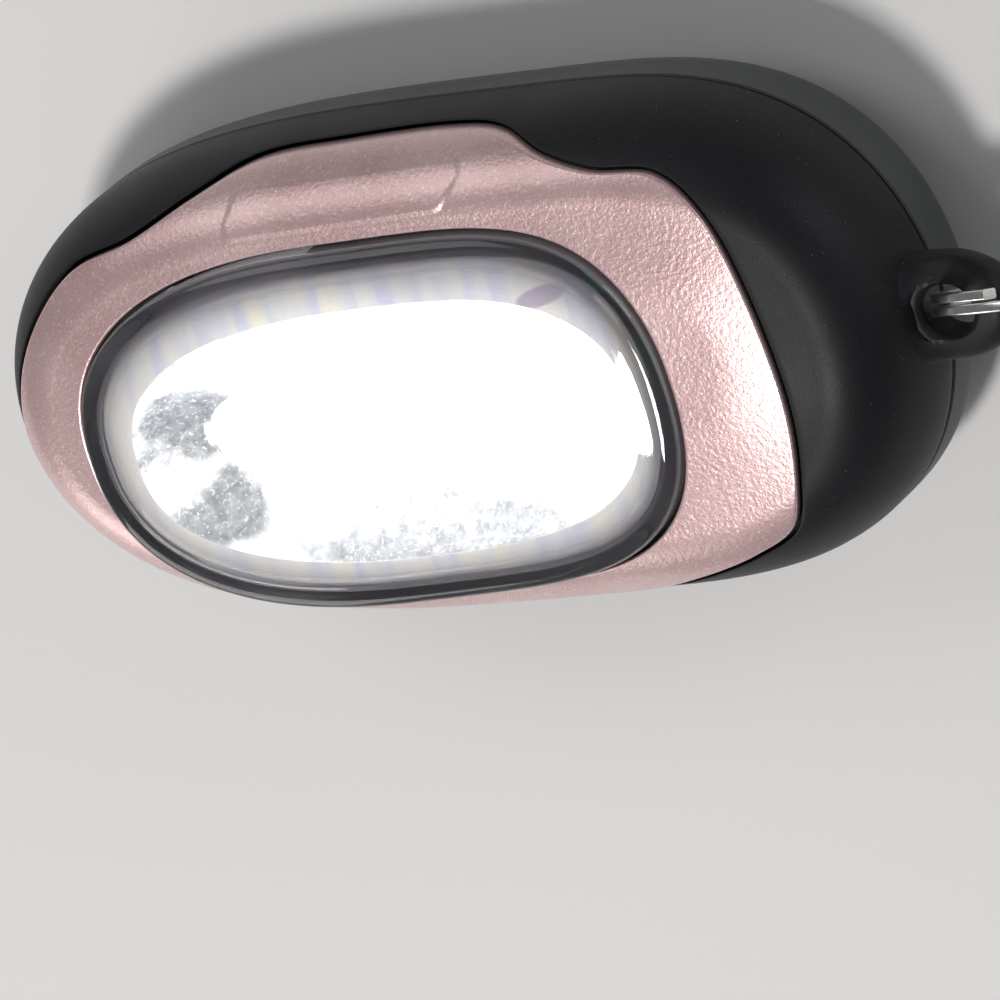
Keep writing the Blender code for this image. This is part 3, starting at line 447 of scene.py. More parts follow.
# ---- finishes -----------------------------------------------------------------------------------
class Paint:
    """A material under construction: its shader, and short ways to add texture nodes."""

    def __init__(self, name: str) -> None:
        """Starts a material with one Principled shader on Object coordinates."""
        self.material = bpy.data.materials.new(name)
        self.material.use_nodes = True
        self.tree = self.material.node_tree
        self.shader = self.tree.nodes["Principled BSDF"]
        self.where = self.tree.nodes.new("ShaderNodeTexCoord").outputs["Object"]

    def node(self, kind: str, **settings: object) -> bpy.types.ShaderNode:
        """Adds a node and sets its properties."""
        made = self.tree.nodes.new(kind)
        for key, value in settings.items():
            setattr(made, key, value)
        return made

    def join(self, out: bpy.types.NodeSocket, into: bpy.types.NodeSocket) -> None:
        """Links two sockets."""
        self.tree.links.new(out, into)

    def stretched(self, centre: tuple[float, float, float] = (0, 0, 0),
                  scale: tuple[float, float, float] = (1, 1, 1), turn: float = 0.0,
                  where: bpy.types.NodeSocket | None = None) -> bpy.types.NodeSocket:
        """Object coordinates, or others if given, about a centre, turned about Z and scaled."""
        mapping = self.node("ShaderNodeMapping", vector_type="TEXTURE")
        self.join(where or self.where, mapping.inputs["Vector"])
        mapping.inputs["Location"].default_value = centre
        mapping.inputs["Rotation"].default_value = (0, 0, turn)
        mapping.inputs["Scale"].default_value = scale
        return mapping.outputs["Vector"]

    def reach(self, place: bpy.types.NodeSocket) -> bpy.types.NodeSocket:
        """Distance of a place from the origin of its coordinates."""
        made = self.node("ShaderNodeVectorMath", operation="LENGTH")
        self.join(place, made.inputs[0])
        return made.outputs["Value"]

    def noise(self, size: float, detail: float = 2.0, rough: float = 0.5,
              where: bpy.types.NodeSocket | None = None) -> bpy.types.NodeSocket:
        """Noise whose features are about a size in metres."""
        tex = self.node("ShaderNodeTexNoise")
        self.join(where or self.where, tex.inputs["Vector"])
        tex.inputs["Scale"].default_value = 1 / size
        tex.inputs["Detail"].default_value = detail
        tex.inputs["Roughness"].default_value = rough
        return tex.outputs["Fac"]

    def cells(self, size: float) -> bpy.types.ShaderNode:
        """Voronoi cells about a size in metres."""
        tex = self.node("ShaderNodeTexVoronoi")
        self.join(self.where, tex.inputs["Vector"])
        tex.inputs["Scale"].default_value = 1 / size
        return tex

    def remap(self, value: bpy.types.NodeSocket, low: float, high: float, out_low: float,
              out_high: float) -> bpy.types.NodeSocket:
        """A value mapped from one range to another, with clamping."""
        made = self.node("ShaderNodeMapRange")
        self.join(value, made.inputs["Value"])
        for key, number in (("From Min", low), ("From Max", high), ("To Min", out_low), ("To Max", out_high)):
            made.inputs[key].default_value = number
        return made.outputs["Result"]

    def ramp(self, value: bpy.types.NodeSocket, stops: list[tuple[float, Colour]]) -> bpy.types.NodeSocket:
        """A colour ramp over a value."""
        made = self.node("ShaderNodeValToRGB")
        line = made.color_ramp.elements
        while len(line) < len(stops):
            line.new(0.5)
        for element, (at, colour) in zip(line, stops):
            element.position = at
            element.color = (*colour, 1)
        self.join(value, made.inputs["Fac"])
        return made.outputs["Color"]

    def maths(self, operation: str, a: bpy.types.NodeSocket,
              b: bpy.types.NodeSocket | float) -> bpy.types.NodeSocket:
        """One Math node on a value and a value or number."""
        made = self.node("ShaderNodeMath", operation=operation)
        self.join(a, made.inputs[0])
        if isinstance(b, (int, float)):
            made.inputs[1].default_value = b
        else:
            self.join(b, made.inputs[1])
        return made.outputs["Value"]

    def blend(self, share: bpy.types.NodeSocket, a: bpy.types.NodeSocket | Colour,
              b: bpy.types.NodeSocket | Colour) -> bpy.types.NodeSocket:
        """Mixes two colours by a share."""
        made = self.node("ShaderNodeMix", data_type="RGBA", blend_type="MIX")
        self.join(share, made.inputs["Factor"])
        for socket, value in ((made.inputs[6], a), (made.inputs[7], b)):
            if isinstance(value, tuple):
                socket.default_value = (*value, 1)
            else:
                self.join(value, socket)
        return made.outputs[2]

    def bump(self, height: bpy.types.NodeSocket, depth: float, strength: float = 1.0,
             after: bpy.types.NodeSocket | None = None) -> bpy.types.NodeSocket:
        """Surface relief of a depth in metres, on top of another relief if one is given."""
        made = self.node("ShaderNodeBump")
        made.inputs["Strength"].default_value = strength
        made.inputs["Distance"].default_value = depth
        self.join(height, made.inputs["Height"])
        if after is not None:
            self.join(after, made.inputs["Normal"])
        return made.outputs["Normal"]

    def set(self, **values: object) -> None:
        """Sets uniform values on the shader; underscores stand for spaces."""
        for key, value in values.items():
            self.shader.inputs[key.replace("_", " ")].default_value = value

    def feed(self, socket: str, value: bpy.types.NodeSocket) -> None:
        """Links a value to one of the shader's inputs."""
        self.join(value, self.shader.inputs[socket])


@dataclass(frozen=True)
class MouldedFinish:
    """Moulded or plated surface: two shades of one colour, fine grain, cloudy gloss and dust."""

    name: str
    dark: Colour
    light: Colour
    grain: float = 0.18 * MM
    relief: float = 0.012 * MM
    cloud: float = 9.0 * MM
    rough_low: float = 0.45
    rough_high: float = 0.6
    metallic: float = 0.0
    specular: float = 0.5
    sheen: float = 0.0
    coat: float = 0.0
    dust: float = 0.0
    fleck: float = 0.35
    glow: float = 0.0
    brushed: tuple[float, float, float] = (1, 1, 1)

    def make(self) -> bpy.types.Material:
        """Builds the node material."""
        paint = Paint(self.name)
        where = paint.stretched(scale=self.brushed)
        grain = paint.noise(self.grain, 3.0, 0.6, where)
        cloud = paint.noise(self.cloud, 3.0, 0.55)
        shades = paint.ramp(paint.maths("MULTIPLY_ADD", cloud, 0.6), [(0.15, self.dark), (0.55, self.light)])
        speck = paint.remap(grain, 0.42, 0.66, 0.0, self.fleck)
        colour = paint.blend(speck, shades, tuple(min(1.0, c * 1.5) for c in self.light))
        if self.dust:
            mote = paint.remap(paint.noise(0.16 * MM, 1.0, 0.4), 0.78, 0.82, 0.0, self.dust)
            colour = paint.blend(mote, colour, (0.32, 0.33, 0.34))
        paint.feed("Base Color", colour)
        haze = paint.maths("ADD", paint.maths("MULTIPLY", grain, 0.4), paint.maths("MULTIPLY", cloud, 0.6))
        paint.feed("Roughness", paint.remap(haze, 0.3, 0.7, self.rough_low, self.rough_high))
        paint.feed("Normal", paint.bump(grain, self.relief))
        paint.set(Metallic=self.metallic, Specular_IOR_Level=self.specular, Sheen_Weight=self.sheen,
                  Coat_Weight=self.coat)
        # glow makes the surface emit its own colour: painted light on a part that is no lamp
        if self.glow:
            paint.feed("Emission Color", colour)
            paint.set(Emission_Strength=self.glow)
        return paint.material


@dataclass(frozen=True)
class PearlFinish:
    """Rose metallic paint on a finely pebbled plate, with bright flakes."""

    name: str = "plate_rose_pearl"
    deep: Colour = (0.56, 0.360, 0.365)
    rose: Colour = (0.68, 0.475, 0.475)
    flake: Colour = (0.95, 0.82, 0.80)
    pebble: float = 0.34 * MM
    relief: float = 0.030 * MM

    def make(self) -> bpy.types.Material:
        """Builds the node material."""
        paint = Paint(self.name)
        cloud = paint.noise(11 * MM, 2.0, 0.5)
        base = paint.ramp(cloud, [(0.3, self.deep), (0.62, self.rose)])
        flakes = paint.cells(0.16 * MM)
        bright = paint.remap(flakes.outputs["Color"], 0.72, 0.98, 0.0, 0.55)
        colour = paint.blend(bright, base, self.flake)
        paint.feed("Base Color", colour)
        fine = paint.noise(0.12 * MM, 2.0, 0.6)
        paint.feed("Roughness", paint.remap(fine, 0.3, 0.7, 0.25, 0.38))
        pebbles = paint.noise(self.pebble, 2.5, 0.55)
        relief = paint.bump(pebbles, self.relief)
        paint.feed("Normal", paint.bump(flakes.outputs["Distance"], 0.006 * MM, 0.6, relief))
        paint.set(Metallic=0.45, Coat_Weight=0.2, Coat_Roughness=0.22, Specular_IOR_Level=0.6)
        return paint.material


@dataclass(frozen=True)
class ClearFinish:
    """Clear moulded acrylic with a faint ripple; low on its side it is painted grey and less clear, a painted
    refraction of the black shell.
    """

    painted_ring_z: float
    clear_z: float
    name: str = "lens_clear_acrylic"
    tint: Colour = (0.93, 0.94, 0.96)
    painted_ring_colour: Colour = (0.30, 0.285, 0.31)

    def make(self) -> bpy.types.Material:
        """Builds the node material."""
        paint = Paint(self.name)
        ripple = paint.noise(6 * MM, 2.0, 0.5)
        clear = paint.ramp(ripple, [(0.3, self.tint), (0.7, (0.97, 0.97, 0.98))])
        apart = paint.node("ShaderNodeSeparateXYZ")
        paint.join(paint.where, apart.inputs["Vector"])
        # painted refraction: below the shoulder the lens turns grey and less clear, standing in for the dark
        # shell seen through its side
        up = paint.remap(apart.outputs["Z"], self.painted_ring_z, self.clear_z, 0.0, 1.0)
        paint.feed("Base Color", paint.blend(up, self.painted_ring_colour, clear))
        paint.feed("Transmission Weight",
                   paint.remap(apart.outputs["Z"], self.painted_ring_z, self.clear_z, 0.45, 1.0))
        paint.feed("Roughness", paint.remap(paint.noise(0.5 * MM, 2.0, 0.5), 0.3, 0.7, 0.01, 0.05))
        paint.feed("Normal", paint.bump(ripple, 0.01 * MM))
        paint.set(IOR=1.49, Specular_IOR_Level=0.5)
        return paint.material


@dataclass(frozen=True)
class Patch:
    """One oval patch of painted shade inside the bowl, standing in for darker reflections on its walls, in
    shares of the mouth's half sizes.
    """

    along: float
    across: float
    long: float
    wide: float
    depth: float


@dataclass(frozen=True)
class GlowingBowl:
    """Bright-plated bowl with painted glare: its emission stands in for the strip's light reflected in it,
    with grey speckled patches of painted dark reflection.
    """

    name: str
    centre: Point
    half_length: float
    half_width: float
    glare: float = 3.0
    patches: tuple[Patch, ...] = (
        Patch(0.82, -0.14, 0.24, 0.42, 0.95), Patch(0.74, 0.56, 0.22, 0.34, 0.85),
        Patch(-0.12, 0.86, 0.82, 0.42, 0.85), Patch(-0.70, 0.62, 0.26, 0.36, 0.7),
        Patch(0.72, -0.60, 0.18, 0.18, 0.6))

    def make(self) -> bpy.types.Material:
        """Builds the node material."""
        paint = Paint(self.name)
        wobble = paint.node("ShaderNodeTexNoise")
        paint.join(paint.where, wobble.inputs["Vector"])
        wobble.inputs["Scale"].default_value = 1 / (3.2 * MM)
        wobble.inputs["Detail"].default_value = 4.0
        shift = paint.node("ShaderNodeVectorMath", operation="MULTIPLY_ADD")
        paint.join(wobble.outputs["Color"], shift.inputs[0])
        shift.inputs[1].default_value = (5.0 * MM, 4.0 * MM, 0)
        paint.join(paint.where, shift.inputs[2])
        shade = None
        # painted shade: oval patches of darker reflection laid over the painted glare
        for patch in self.patches:
            place = paint.stretched((self.centre[0] + patch.along * self.half_length + 2.5 * MM,
                                     self.centre[1] + patch.across * self.half_width + 2.0 * MM, 0),
                                    (patch.long * self.half_length, patch.wide * self.half_width, 1.0),
                                    where=shift.outputs["Vector"])
            spot = paint.remap(paint.reach(place), 1.25, 0.55, 0.0, patch.depth)
            shade = spot if shade is None else paint.maths("MAXIMUM", shade, spot)
        speckle = paint.noise(0.30 * MM, 2.0, 0.7)
        # painted glints: the speckle lights white sparks inside the painted shade patches
        spark = paint.remap(speckle, 0.56, 0.72, 0.0, 1.0)
        grey = paint.ramp(paint.noise(0.8 * MM, 3.0, 0.65),
                          [(0.3, (0.24, 0.25, 0.27)), (0.7, (0.60, 0.62, 0.64))])
        lit = paint.blend(spark, grey, (0.95, 0.97, 1.0))
        paint.feed("Base Color", paint.blend(shade, (0.92, 0.93, 0.95), lit))
        # painted glare: the bowl is no lamp; this emission stands in for the strip's light reflected in the
        # plating, dimmer in the patches
        paint.feed("Emission Color", paint.blend(shade, (1.0, 1.0, 1.0), lit))
        paint.feed("Emission Strength", paint.remap(shade, 0.0, 0.8, self.glare, 0.7))
        paint.feed("Roughness", paint.remap(speckle, 0.3, 0.7, 0.12, 0.3))
        paint.feed("Normal", paint.bump(paint.noise(1.1 * MM, 2.0, 0.5), 0.05 * MM))
        paint.set(Metallic=0.85)
        return paint.material


# ---- the case -----------------------------------------------------------------------------------
@dataclass
class CaseForm:
    """The driving sizes of the case, read from the frame."""

    gap: float = 0.3 * MM
    wall: float = 1.5 * MM
    back_round: float = 6.0 * MM
    plate_thick: float = 0.6 * MM
    plate_proud: float = 0.15 * MM
    crown_rise: float = 0.5 * MM
    straight_rim: float = 1.0 * MM
    panel_raise: float = 0.09 * MM
    panel_corner: float = 0.9 * MM
    panel_border: float = 0.42 * MM
    rays: int = 480
    outline_shares: tuple[Point, ...] = (
        (-0.750, 0.14), (-0.730, -0.25), (-0.683, -0.57), (-0.600, -0.74), (-0.472, -0.78),
        (-0.367, -0.845), (-0.267, -0.928), (-0.139, -0.95), (0.083, -0.945), (0.278, -0.922),
        (0.417, -0.834), (0.569, -0.707), (0.722, -0.608), (0.839, -0.398), (0.917, -0.138),
        (0.944, 0.138), (0.903, 0.42), (0.778, 0.675), (0.583, 0.857), (0.306, 0.951),
        (0.028, 0.971), (-0.267, 0.96), (-0.431, 0.894), (-0.583, 0.80), (-0.686, 0.685),
        (-0.733, 0.442))
    panel_shares: tuple[Point, ...] = ((-0.175, -0.89), (0.30, -0.87), (0.325, -0.675), (-0.135, -0.70))

    def __post_init__(self) -> None:
        """Works out the outlines from the shells' boxes."""
        low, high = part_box("rear_shell")
        front_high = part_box("front_shell")[1]
        self.middle = (low.x + high.x) / 2
        self.half_length = (high.x - low.x) / 2
        self.half_width = (high.y - low.y) / 2
        self.seam_z = high.z
        self.plate_z = front_high.z - self.crown_rise
        long, wide = self.half_length, self.half_width
        self.egg = Egg((self.middle, 0), -0.25 * long, 0.75 * long, 3.2, 1.25 * long, 3.8, wide, 2.0)
        self.lens = Egg((self.middle + 0.125 * long, 0.108 * wide), 0, 0.647 * long, 4.2, 0.647 * long,
                        2.5, 0.721 * wide, 2.3, radians(1.5))
        self.mouth = Egg((self.middle + 0.12 * long, 0.146 * wide), 0, 0.55 * long, 3.0, 0.55 * long,
                         2.2, 0.503 * wide, 2.5, radians(1.2))
        self.bowl = Egg(self.mouth.centre, 0, 0.43 * long, 4.0, 0.43 * long, 4.0, 0.19 * wide, 2.6)
        self.face = CrownedFace(self.egg, self.seam_z + self.straight_rim, self.plate_z, self.crown_rise)
        self.fan = fan(self.rays)
        self.hub = self.lens.centre
        self.plate_line = rounded_outline([self.place(p) for p in self.outline_shares])
        self.panel_core = grown([self.place(p) for p in self.panel_shares], -self.panel_corner)

    def place(self, share: Point) -> Point:
        """A plan place from shares of the half length and half width."""
        return self.middle + share[0] * self.half_length, share[1] * self.half_width

    def on_fan(self, outline: list[Point]) -> list[Point]:
        """An outline's points on the case's rays."""
        return on_rays(outline, self.hub, self.fan)

    def case_ring(self, inset: float) -> list[Point]:
        """The case outline moved inward, on the rays."""
        return self.on_fan(self.egg.path(inset))

    def lens_share(self, x: float, y: float) -> float:
        """How far out a plan point is within the lens: 0 at its middle and about 1 at its edge."""
        along = (x - self.lens.centre[0]) / self.lens.front
        across = (y - self.lens.centre[1]) / self.lens.half_width
        return (abs(along) ** 3 + abs(across) ** 3) ** (1 / 3)

    def panel_raise_at(self, x: float, y: float) -> float:
        """How far the name panel stands up at a plan point, with its soft border.

        Args:
            x: plan place along the case.
            y: plan place across it.

        Returns:
            The raise in metres.
        """
        core = self.panel_core
        inside = True
        reach = 1.0
        for (ax, ay), (bx, by) in zip(core, core[1:] + core[:1]):
            ex, ey = bx - ax, by - ay
            inside = inside and ex * (y - ay) - ey * (x - ax) > 0
            t = min(1.0, max(0.0, ((x - ax) * ex + (y - ay) * ey) / (ex * ex + ey * ey)))
            reach = min(reach, hypot(x - ax - ex * t, y - ay - ey * t))
        depth = self.panel_corner + (reach if inside else -reach)
        return self.panel_raise * smooth(depth / self.panel_border)


@dataclass
class RearShell:
    """The back half of the case, with its ways for the cover, button and screws."""

    form: CaseForm
    bend_steps: int = 18
    rim_break: float = 0.12 * MM
    ledge: float = 0.95 * MM
    play: float = 0.3 * MM
    screw_head: float = 2.0 * MM
    screw_hole: float = 1.1 * MM

    def rings(self) -> list[list[Vector]]:
        """Outlines from the flat back round the outside, over the rim and down inside."""
        form = self.form
        rounding = form.back_round
        out = []
        for i in range(self.bend_steps + 1):
            turn = pi / 2 * (1 - i / self.bend_steps)
            out.append(level(form.case_ring(rounding * (1 - cos(turn))), rounding * (1 - sin(turn))))
        out.append(level(form.case_ring(0), form.seam_z - self.rim_break))
        out.append(level(form.case_ring(self.rim_break), form.seam_z))
        out.append(level(form.case_ring(form.wall), form.seam_z))
        inner = rounding - form.wall
        for i in range(9):
            turn = pi / 2 * i / 8
            out.append(level(form.case_ring(rounding - inner * cos(turn)), rounding - inner * sin(turn)))
        return out

    def build(self, material: bpy.types.Material) -> bpy.types.Object:
        """Models the shell and cuts its ways."""
        shell = skin("rear_shell_fine", self.rings())
        low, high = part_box("battery_cover")
        cover = ((low.x + high.x) / 2, 0.0)
        reach = (high.y - low.y) / 2
        play, ledge = self.play, self.ledge
        combine(shell, turned("cover_way", [
            (reach + 0.6 * MM, -1 * MM), (reach + 0.42 * MM, 0.0), (reach + play, 0.15 * MM),
            (reach + play, ledge), (reach - 0.8 * MM, ledge), (reach - 0.8 * MM, 3 * MM)],
            cover, 120), "DIFFERENCE")
        low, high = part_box("power_button")
        button = ((low.x + high.x) / 2, 0.0)
        combine(shell, turned("button_way", [
            (5.3 * MM, -1 * MM), (4.95 * MM, 0.0), (4.8 * MM, 0.2 * MM), (4.8 * MM, 1.6 * MM)],
            button, 96), "DIFFERENCE")
        for n in range(1, 5):
            combine(shell, turned(f"screw_way_{n}", [
                (self.screw_head, -1 * MM), (self.screw_head, 1.5 * MM), (self.screw_hole, 2.4 * MM),
                (self.screw_hole, 4 * MM)], middle_of(f"case_screw_{n}"), 48), "DIFFERENCE")
        shade(shell)
        return finish_piece(shell, Body.CASE, "case_rear_black", material, "rear_shell")


@dataclass
class FrontShell:
    """The crowned front of the case with its plate recess, lens window and key-ring lug."""

    form: CaseForm
    bend_steps: int = 34
    edge_round: float = 0.14 * MM
    least_band: float = 0.26 * MM
    lug_points: int = 56
    lug_radius: float = 4.7 * MM
    lug_thick: float = 3.4 * MM
    lug_round: float = 1.3 * MM
    lug_hole: float = 1.85 * MM
    lug_flare: float = 0.7 * MM
    lug_overlap: float = 1.5 * MM
    lug_power: float = 2.35
    lug_width: float = 0.82
    root_length: float = 1.4 * MM
    swell_radius: float = 3.2 * MM
    side_share: float = 0.28

    def rings(self) -> list[list[Vector]]:
        """Outlines from the rim over the crown, into the recess, through the window and back inside."""
        form = self.form
        face = form.face
        base_z = form.seam_z + form.gap
        rim = form.case_ring(0)
        recess = nearer(form.on_fan(grown(form.plate_line, form.gap)), form.case_ring(self.least_band),
                        form.hub)
        window = form.on_fan(form.lens.path(-form.gap))
        floor = form.plate_proud - form.plate_thick - form.gap
        out = [level(form.case_ring(0.14 * MM), base_z), level(form.case_ring(0.04 * MM), base_z + 0.04 * MM),
               level(rim, base_z + 0.14 * MM)]
        shoulder = stepped(recess, rim, self.edge_round)
        for k in range(self.bend_steps + 1):
            out.append(face.over(between(rim, shoulder, 1 - cos(pi / 2 * k / self.bend_steps))))
        out.append(face.over(stepped(recess, rim, self.edge_round * 0.3), -self.edge_round * 0.3))
        out.append(face.over(recess, -self.edge_round))
        out.append(face.over(recess, floor))
        for k in (1, 2, 3, 4):
            out.append(face.over(between(recess, window, k / 4), floor))
        out.append(face.over(window, -form.wall))
        inner = form.case_ring(form.wall + 0.05 * MM)
        for k in range(1, 17):
            out.append(face.over(between(window, inner, sin(pi / 2 * k / 16)), -form.wall))
        lip = form.case_ring(form.wall + 1.2 * MM)
        out.append(level(inner, base_z + 1.4 * MM))
        out.append(level(lip, base_z + 1.4 * MM))
        out.append(level(lip, form.seam_z - 1.1 * MM))
        out.append(level(form.case_ring(form.wall + form.gap), form.seam_z - 1.1 * MM))
        out.append(level(form.case_ring(form.wall + form.gap), base_z))
        return out

    def lug_section(self, x: float, half_width: float, low: float, top: float, mid_z: float) -> list[Vector]:
        """Draws one rounded section across the lug.

        Args:
            x: its place along the case.
            half_width: its reach to each side.
            low: its reach below the middle.
            top: its reach above the middle.
            mid_z: height of the lug's middle.

        Returns:
            The section as a ring.
        """
        ring = []
        for k in range(self.lug_points):
            c, s = cos(tau * k / self.lug_points), sin(tau * k / self.lug_points)
            tall = top if s >= 0 else low
            ring.append(Vector((x, half_width * abs(c) ** (2 / self.lug_power) * (1 if c >= 0 else -1),
                                mid_z + tall * abs(s) ** (2 / self.lug_power) * (1 if s >= 0 else -1))))
        return ring

    def lug(self) -> bpy.types.Object:
        """Models the lug as a rounded loop whose root swells into the case."""
        radius, thick = self.lug_radius, self.lug_thick
        centre_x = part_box("front_shell")[0].x + radius
        mid_z = frame_joint("key_ring_swing")["pos_m"][2]
        case_x = self.form.middle - self.form.half_length
        inner_x = case_x + self.lug_overlap
        root_x = case_x - self.root_length
        rings = []
        for k in range(31):
            x = inner_x + (centre_x - inner_x) * k / 30
            swell = max(0.0, min(1.0, (x - root_x) / self.swell_radius))
            rise = self.swell_radius * (1 - sqrt(1 - swell * swell))
            rings.append(self.lug_section(x, radius * self.lug_width + rise * self.side_share, thick / 2,
                                          thick / 2 + rise, mid_z))
        rounding = self.lug_round
        for k in range(1, 33):
            turn = pi / 2 * k / 33
            left = max(0.0, rounding - radius * (1 - sin(turn)))
            tall = thick / 2 - rounding + sqrt(rounding * rounding - left * left)
            half_width = radius * self.lug_width * cos(turn)
            rings.append(self.lug_section(centre_x - radius * sin(turn), half_width, tall, tall, mid_z))
        tab = skin("lug_tab", rings)
        hole, flare = self.lug_hole, self.lug_flare
        low_z, high_z = mid_z - thick / 2, mid_z + thick / 2
        funnel = [(hole + 1.5 * MM, low_z - 0.5 * MM), (hole + flare, low_z)]
        for k in range(1, 6):
            turn = pi / 2 * k / 5
            funnel.append((hole + flare * (1 - sin(turn)), low_z + flare * (1 - cos(turn))))
        for k in range(6):
            turn = pi / 2 * (1 - k / 5)
            funnel.append((hole + flare * (1 - sin(turn)), high_z - flare * (1 - cos(turn))))
        funnel += [(hole + flare + 0.5 * MM, high_z + 1.2 * MM), (hole + flare + 0.9 * MM, high_z + 5 * MM)]
        combine(tab, turned("lug_way", funnel, (centre_x, 0.0), 72), "DIFFERENCE")
        return tab

    def build(self, material: bpy.types.Material) -> bpy.types.Object:
        """Models the shell and joins the lug to it."""
        shell = skin("front_shell_fine", self.rings(), closed=True)
        shade(shell, 42)
        tab = self.lug()
        shade(tab, 42)
        activate(shell)
        tab.select_set(True)
        bpy.ops.object.join()
        return finish_piece(shell, Body.CASE, "case_front_black", material, "front_shell")


@dataclass
class TrimPlate:
    """The rose plate round the lens, with its soft edges and raised name panel."""

    form: CaseForm
    across: int = 76
    rays: int = 900
    edge_round: float = 0.13 * MM
    least_inset: float = 0.42 * MM

    def build(self, material: bpy.types.Material) -> bpy.types.Object:
        """Models the plate as one dense ring from the window to its outline."""
        form = self.form
        face = form.face
        rays = fan(self.rays)
        window = on_rays(form.lens.path(-form.gap, 1800), form.hub, rays)
        outline = nearer(on_rays(form.plate_line, form.hub, rays),
                         on_rays(form.egg.path(self.least_inset), form.hub, rays), form.hub)
        under = form.plate_proud - form.plate_thick
        inner = stepped(window, outline, self.edge_round)
        outer = stepped(outline, window, self.edge_round)
        top = form.plate_proud
        rings = [face.over(window, under), face.over(window, top - self.edge_round),
                 face.over(stepped(window, outline, self.edge_round * 0.3), top - self.edge_round * 0.3)]
        for k in range(self.across + 1):
            row = face.over(between(inner, outer, k / self.across), top)
            for p in row:
                p.z += form.panel_raise_at(p.x, p.y) if p.y < -0.5 * form.half_width else 0.0
            rings.append(row)
        rings.append(face.over(stepped(outline, window, self.edge_round * 0.3), top - self.edge_round * 0.3))
        rings.append(face.over(outline, top - self.edge_round))
        rings.append(face.over(outline, under))
        for k in (1, 2, 3):
            rings.append(face.over(between(outline, window, k / 4), under))
        plate = skin("trim_plate_fine", rings, closed=True)
        shade(plate, 45)
        return finish_piece(plate, Body.CASE, "plate_rose", material, "trim_plate")


# ---- the light ----------------------------------------------------------------------------------
@dataclass
class Lamp:
    """The clear lens, the bright reflector and the lit strip."""

    form: CaseForm
    wall: float = 1.2 * MM
    shoulder: float = 1.3 * MM
    shoulder_rise: float = 0.8 * MM
    bowl_wall: float = 0.7 * MM
    flange_thick: float = 0.6 * MM
    rays: int = 300

    def __post_init__(self) -> None:
        """Takes heights from the CAD nodes."""
        self.foot_z, self.dome_z = (p.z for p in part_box("lens"))
        self.bowl_z, self.mouth_z = (p.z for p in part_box("reflector"))
        self.shoulder_z = self.form.plate_z + 0.55 * MM
        self.skirt_z = self.foot_z + 0.2 * MM

    def ring(self, egg: Egg, inset: float) -> list[Point]:
        """One egg outline on this lamp's rays."""
        return on_rays(egg.path(inset), self.form.hub, fan(self.rays))

    def build_lens(self, material: bpy.types.Material) -> bpy.types.Object:
        """Models the lens: side wall, round shoulder, low dome and hollow underside."""
        egg = self.form.lens
        rings = [level(self.ring(egg, self.wall), self.foot_z), level(self.ring(egg, 0), self.foot_z),
                 level(self.ring(egg, 0), self.foot_z + 1.6 * MM), level(self.ring(egg, 0), self.shoulder_z)]
        for i in range(1, 13):
            turn = pi / 2 * i / 13
            rings.append(level(self.ring(egg, self.shoulder * (1 - cos(turn))),
                               self.shoulder_z + self.shoulder_rise * sin(turn)))
        start = self.shoulder_z + self.shoulder_rise
        for i in range(13):
            inset = self.shoulder + (8.4 - 1.3) * MM * i / 12
            share = sin(pi / 2 * i / 12)
            rings.append(level(self.ring(egg, inset), start + (self.dome_z - start) * share))
        underside = []
        for i in range(11):
            share = i / 10
            inset = self.wall + 6.4 * MM * (1 - share) ** 1.6
            underside.append(level(self.ring(egg, inset), self.dome_z - 1.1 * MM - 0.9 * MM * share ** 3))
        lens = skin("lens_fine", underside + rings)
        shade(lens, 50)
        return finish_piece(lens, Body.CASE, "lens_clear", material, "lens")

    def build_reflector(self, bowl: bpy.types.Material, flange: bpy.types.Material) -> bpy.types.Object:
        """Models the bowl and its flange, each face set with its own finish."""
        mouth = self.ring(self.form.mouth, 0)
        bottom = self.ring(self.form.bowl, 0)
        wall, thick = self.bowl_wall, self.flange_thick
        depth = self.mouth_z - self.bowl_z
        rings = []
        for i in range(25):
            share = i / 24
            rings.append(level(between(bottom, mouth, share ** 0.75),
                               self.bowl_z + depth * share ** 1.25 * 0.985))
        edge = self.ring(self.form.lens, self.wall + 0.3 * MM)
        rings.append(level(stepped(mouth, edge, 0.12 * MM), self.mouth_z - 0.01 * MM))
        for k in range(1, 7):
            rings.append(level(between(mouth, edge, 0.08 + 0.92 * k / 6), self.mouth_z))
        rings.append(level(edge, self.skirt_z))
        rings.append(level(stepped(edge, mouth, thick), self.skirt_z))
        rings.append(level(stepped(edge, mouth, thick), self.mouth_z - thick))
        mouth_under = self.ring(self.form.mouth, -wall)
        bottom_under = self.ring(self.form.bowl, -wall)
        for i in range(12, -1, -1):
            share = i / 12
            rings.append(level(between(bottom_under, mouth_under, share ** 0.75),
                               self.bowl_z + (depth - thick) * share ** 1.25))
        reflector = skin("reflector_fine", rings, closed=True)
        shade(reflector, 50)
        finish_piece(reflector, Body.CASE, "reflector_bright", bowl, "reflector")
        reflector.data.materials.append(flange)
        for face in reflector.data.polygons:
            outside = self.form.lens_share(face.center.x, face.center.y)
            level_top = face.normal.z > 0.9 and outside > 0.5
            if face.center.z > self.skirt_z - 0.1 * MM and (level_top or outside > 0.88):
                face.material_index = 1
        return reflector

    def build_strip(self, material: bpy.types.Material) -> bpy.types.Object:
        """Models the lit strip as a low dam-edged pad."""
        low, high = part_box("cob_phosphor")
        egg = self.form.bowl
        tall = high.z - low.z
        rings = [level(self.ring(egg, inset * MM), z) for inset, z in (
            (0.5, low.z), (0.5, low.z + tall * 0.55), (0.58, low.z + tall * 0.85), (0.8, high.z),
            (1.0, high.z - 0.02 * MM), (1.4, high.z - 0.06 * MM), (2.2, high.z - 0.08 * MM))]
        strip = skin("cob_phosphor_fine", rings)
        shade(strip, 50)
        return finish_piece(strip, Body.CASE, "cob_light", material, "cob_phosphor")


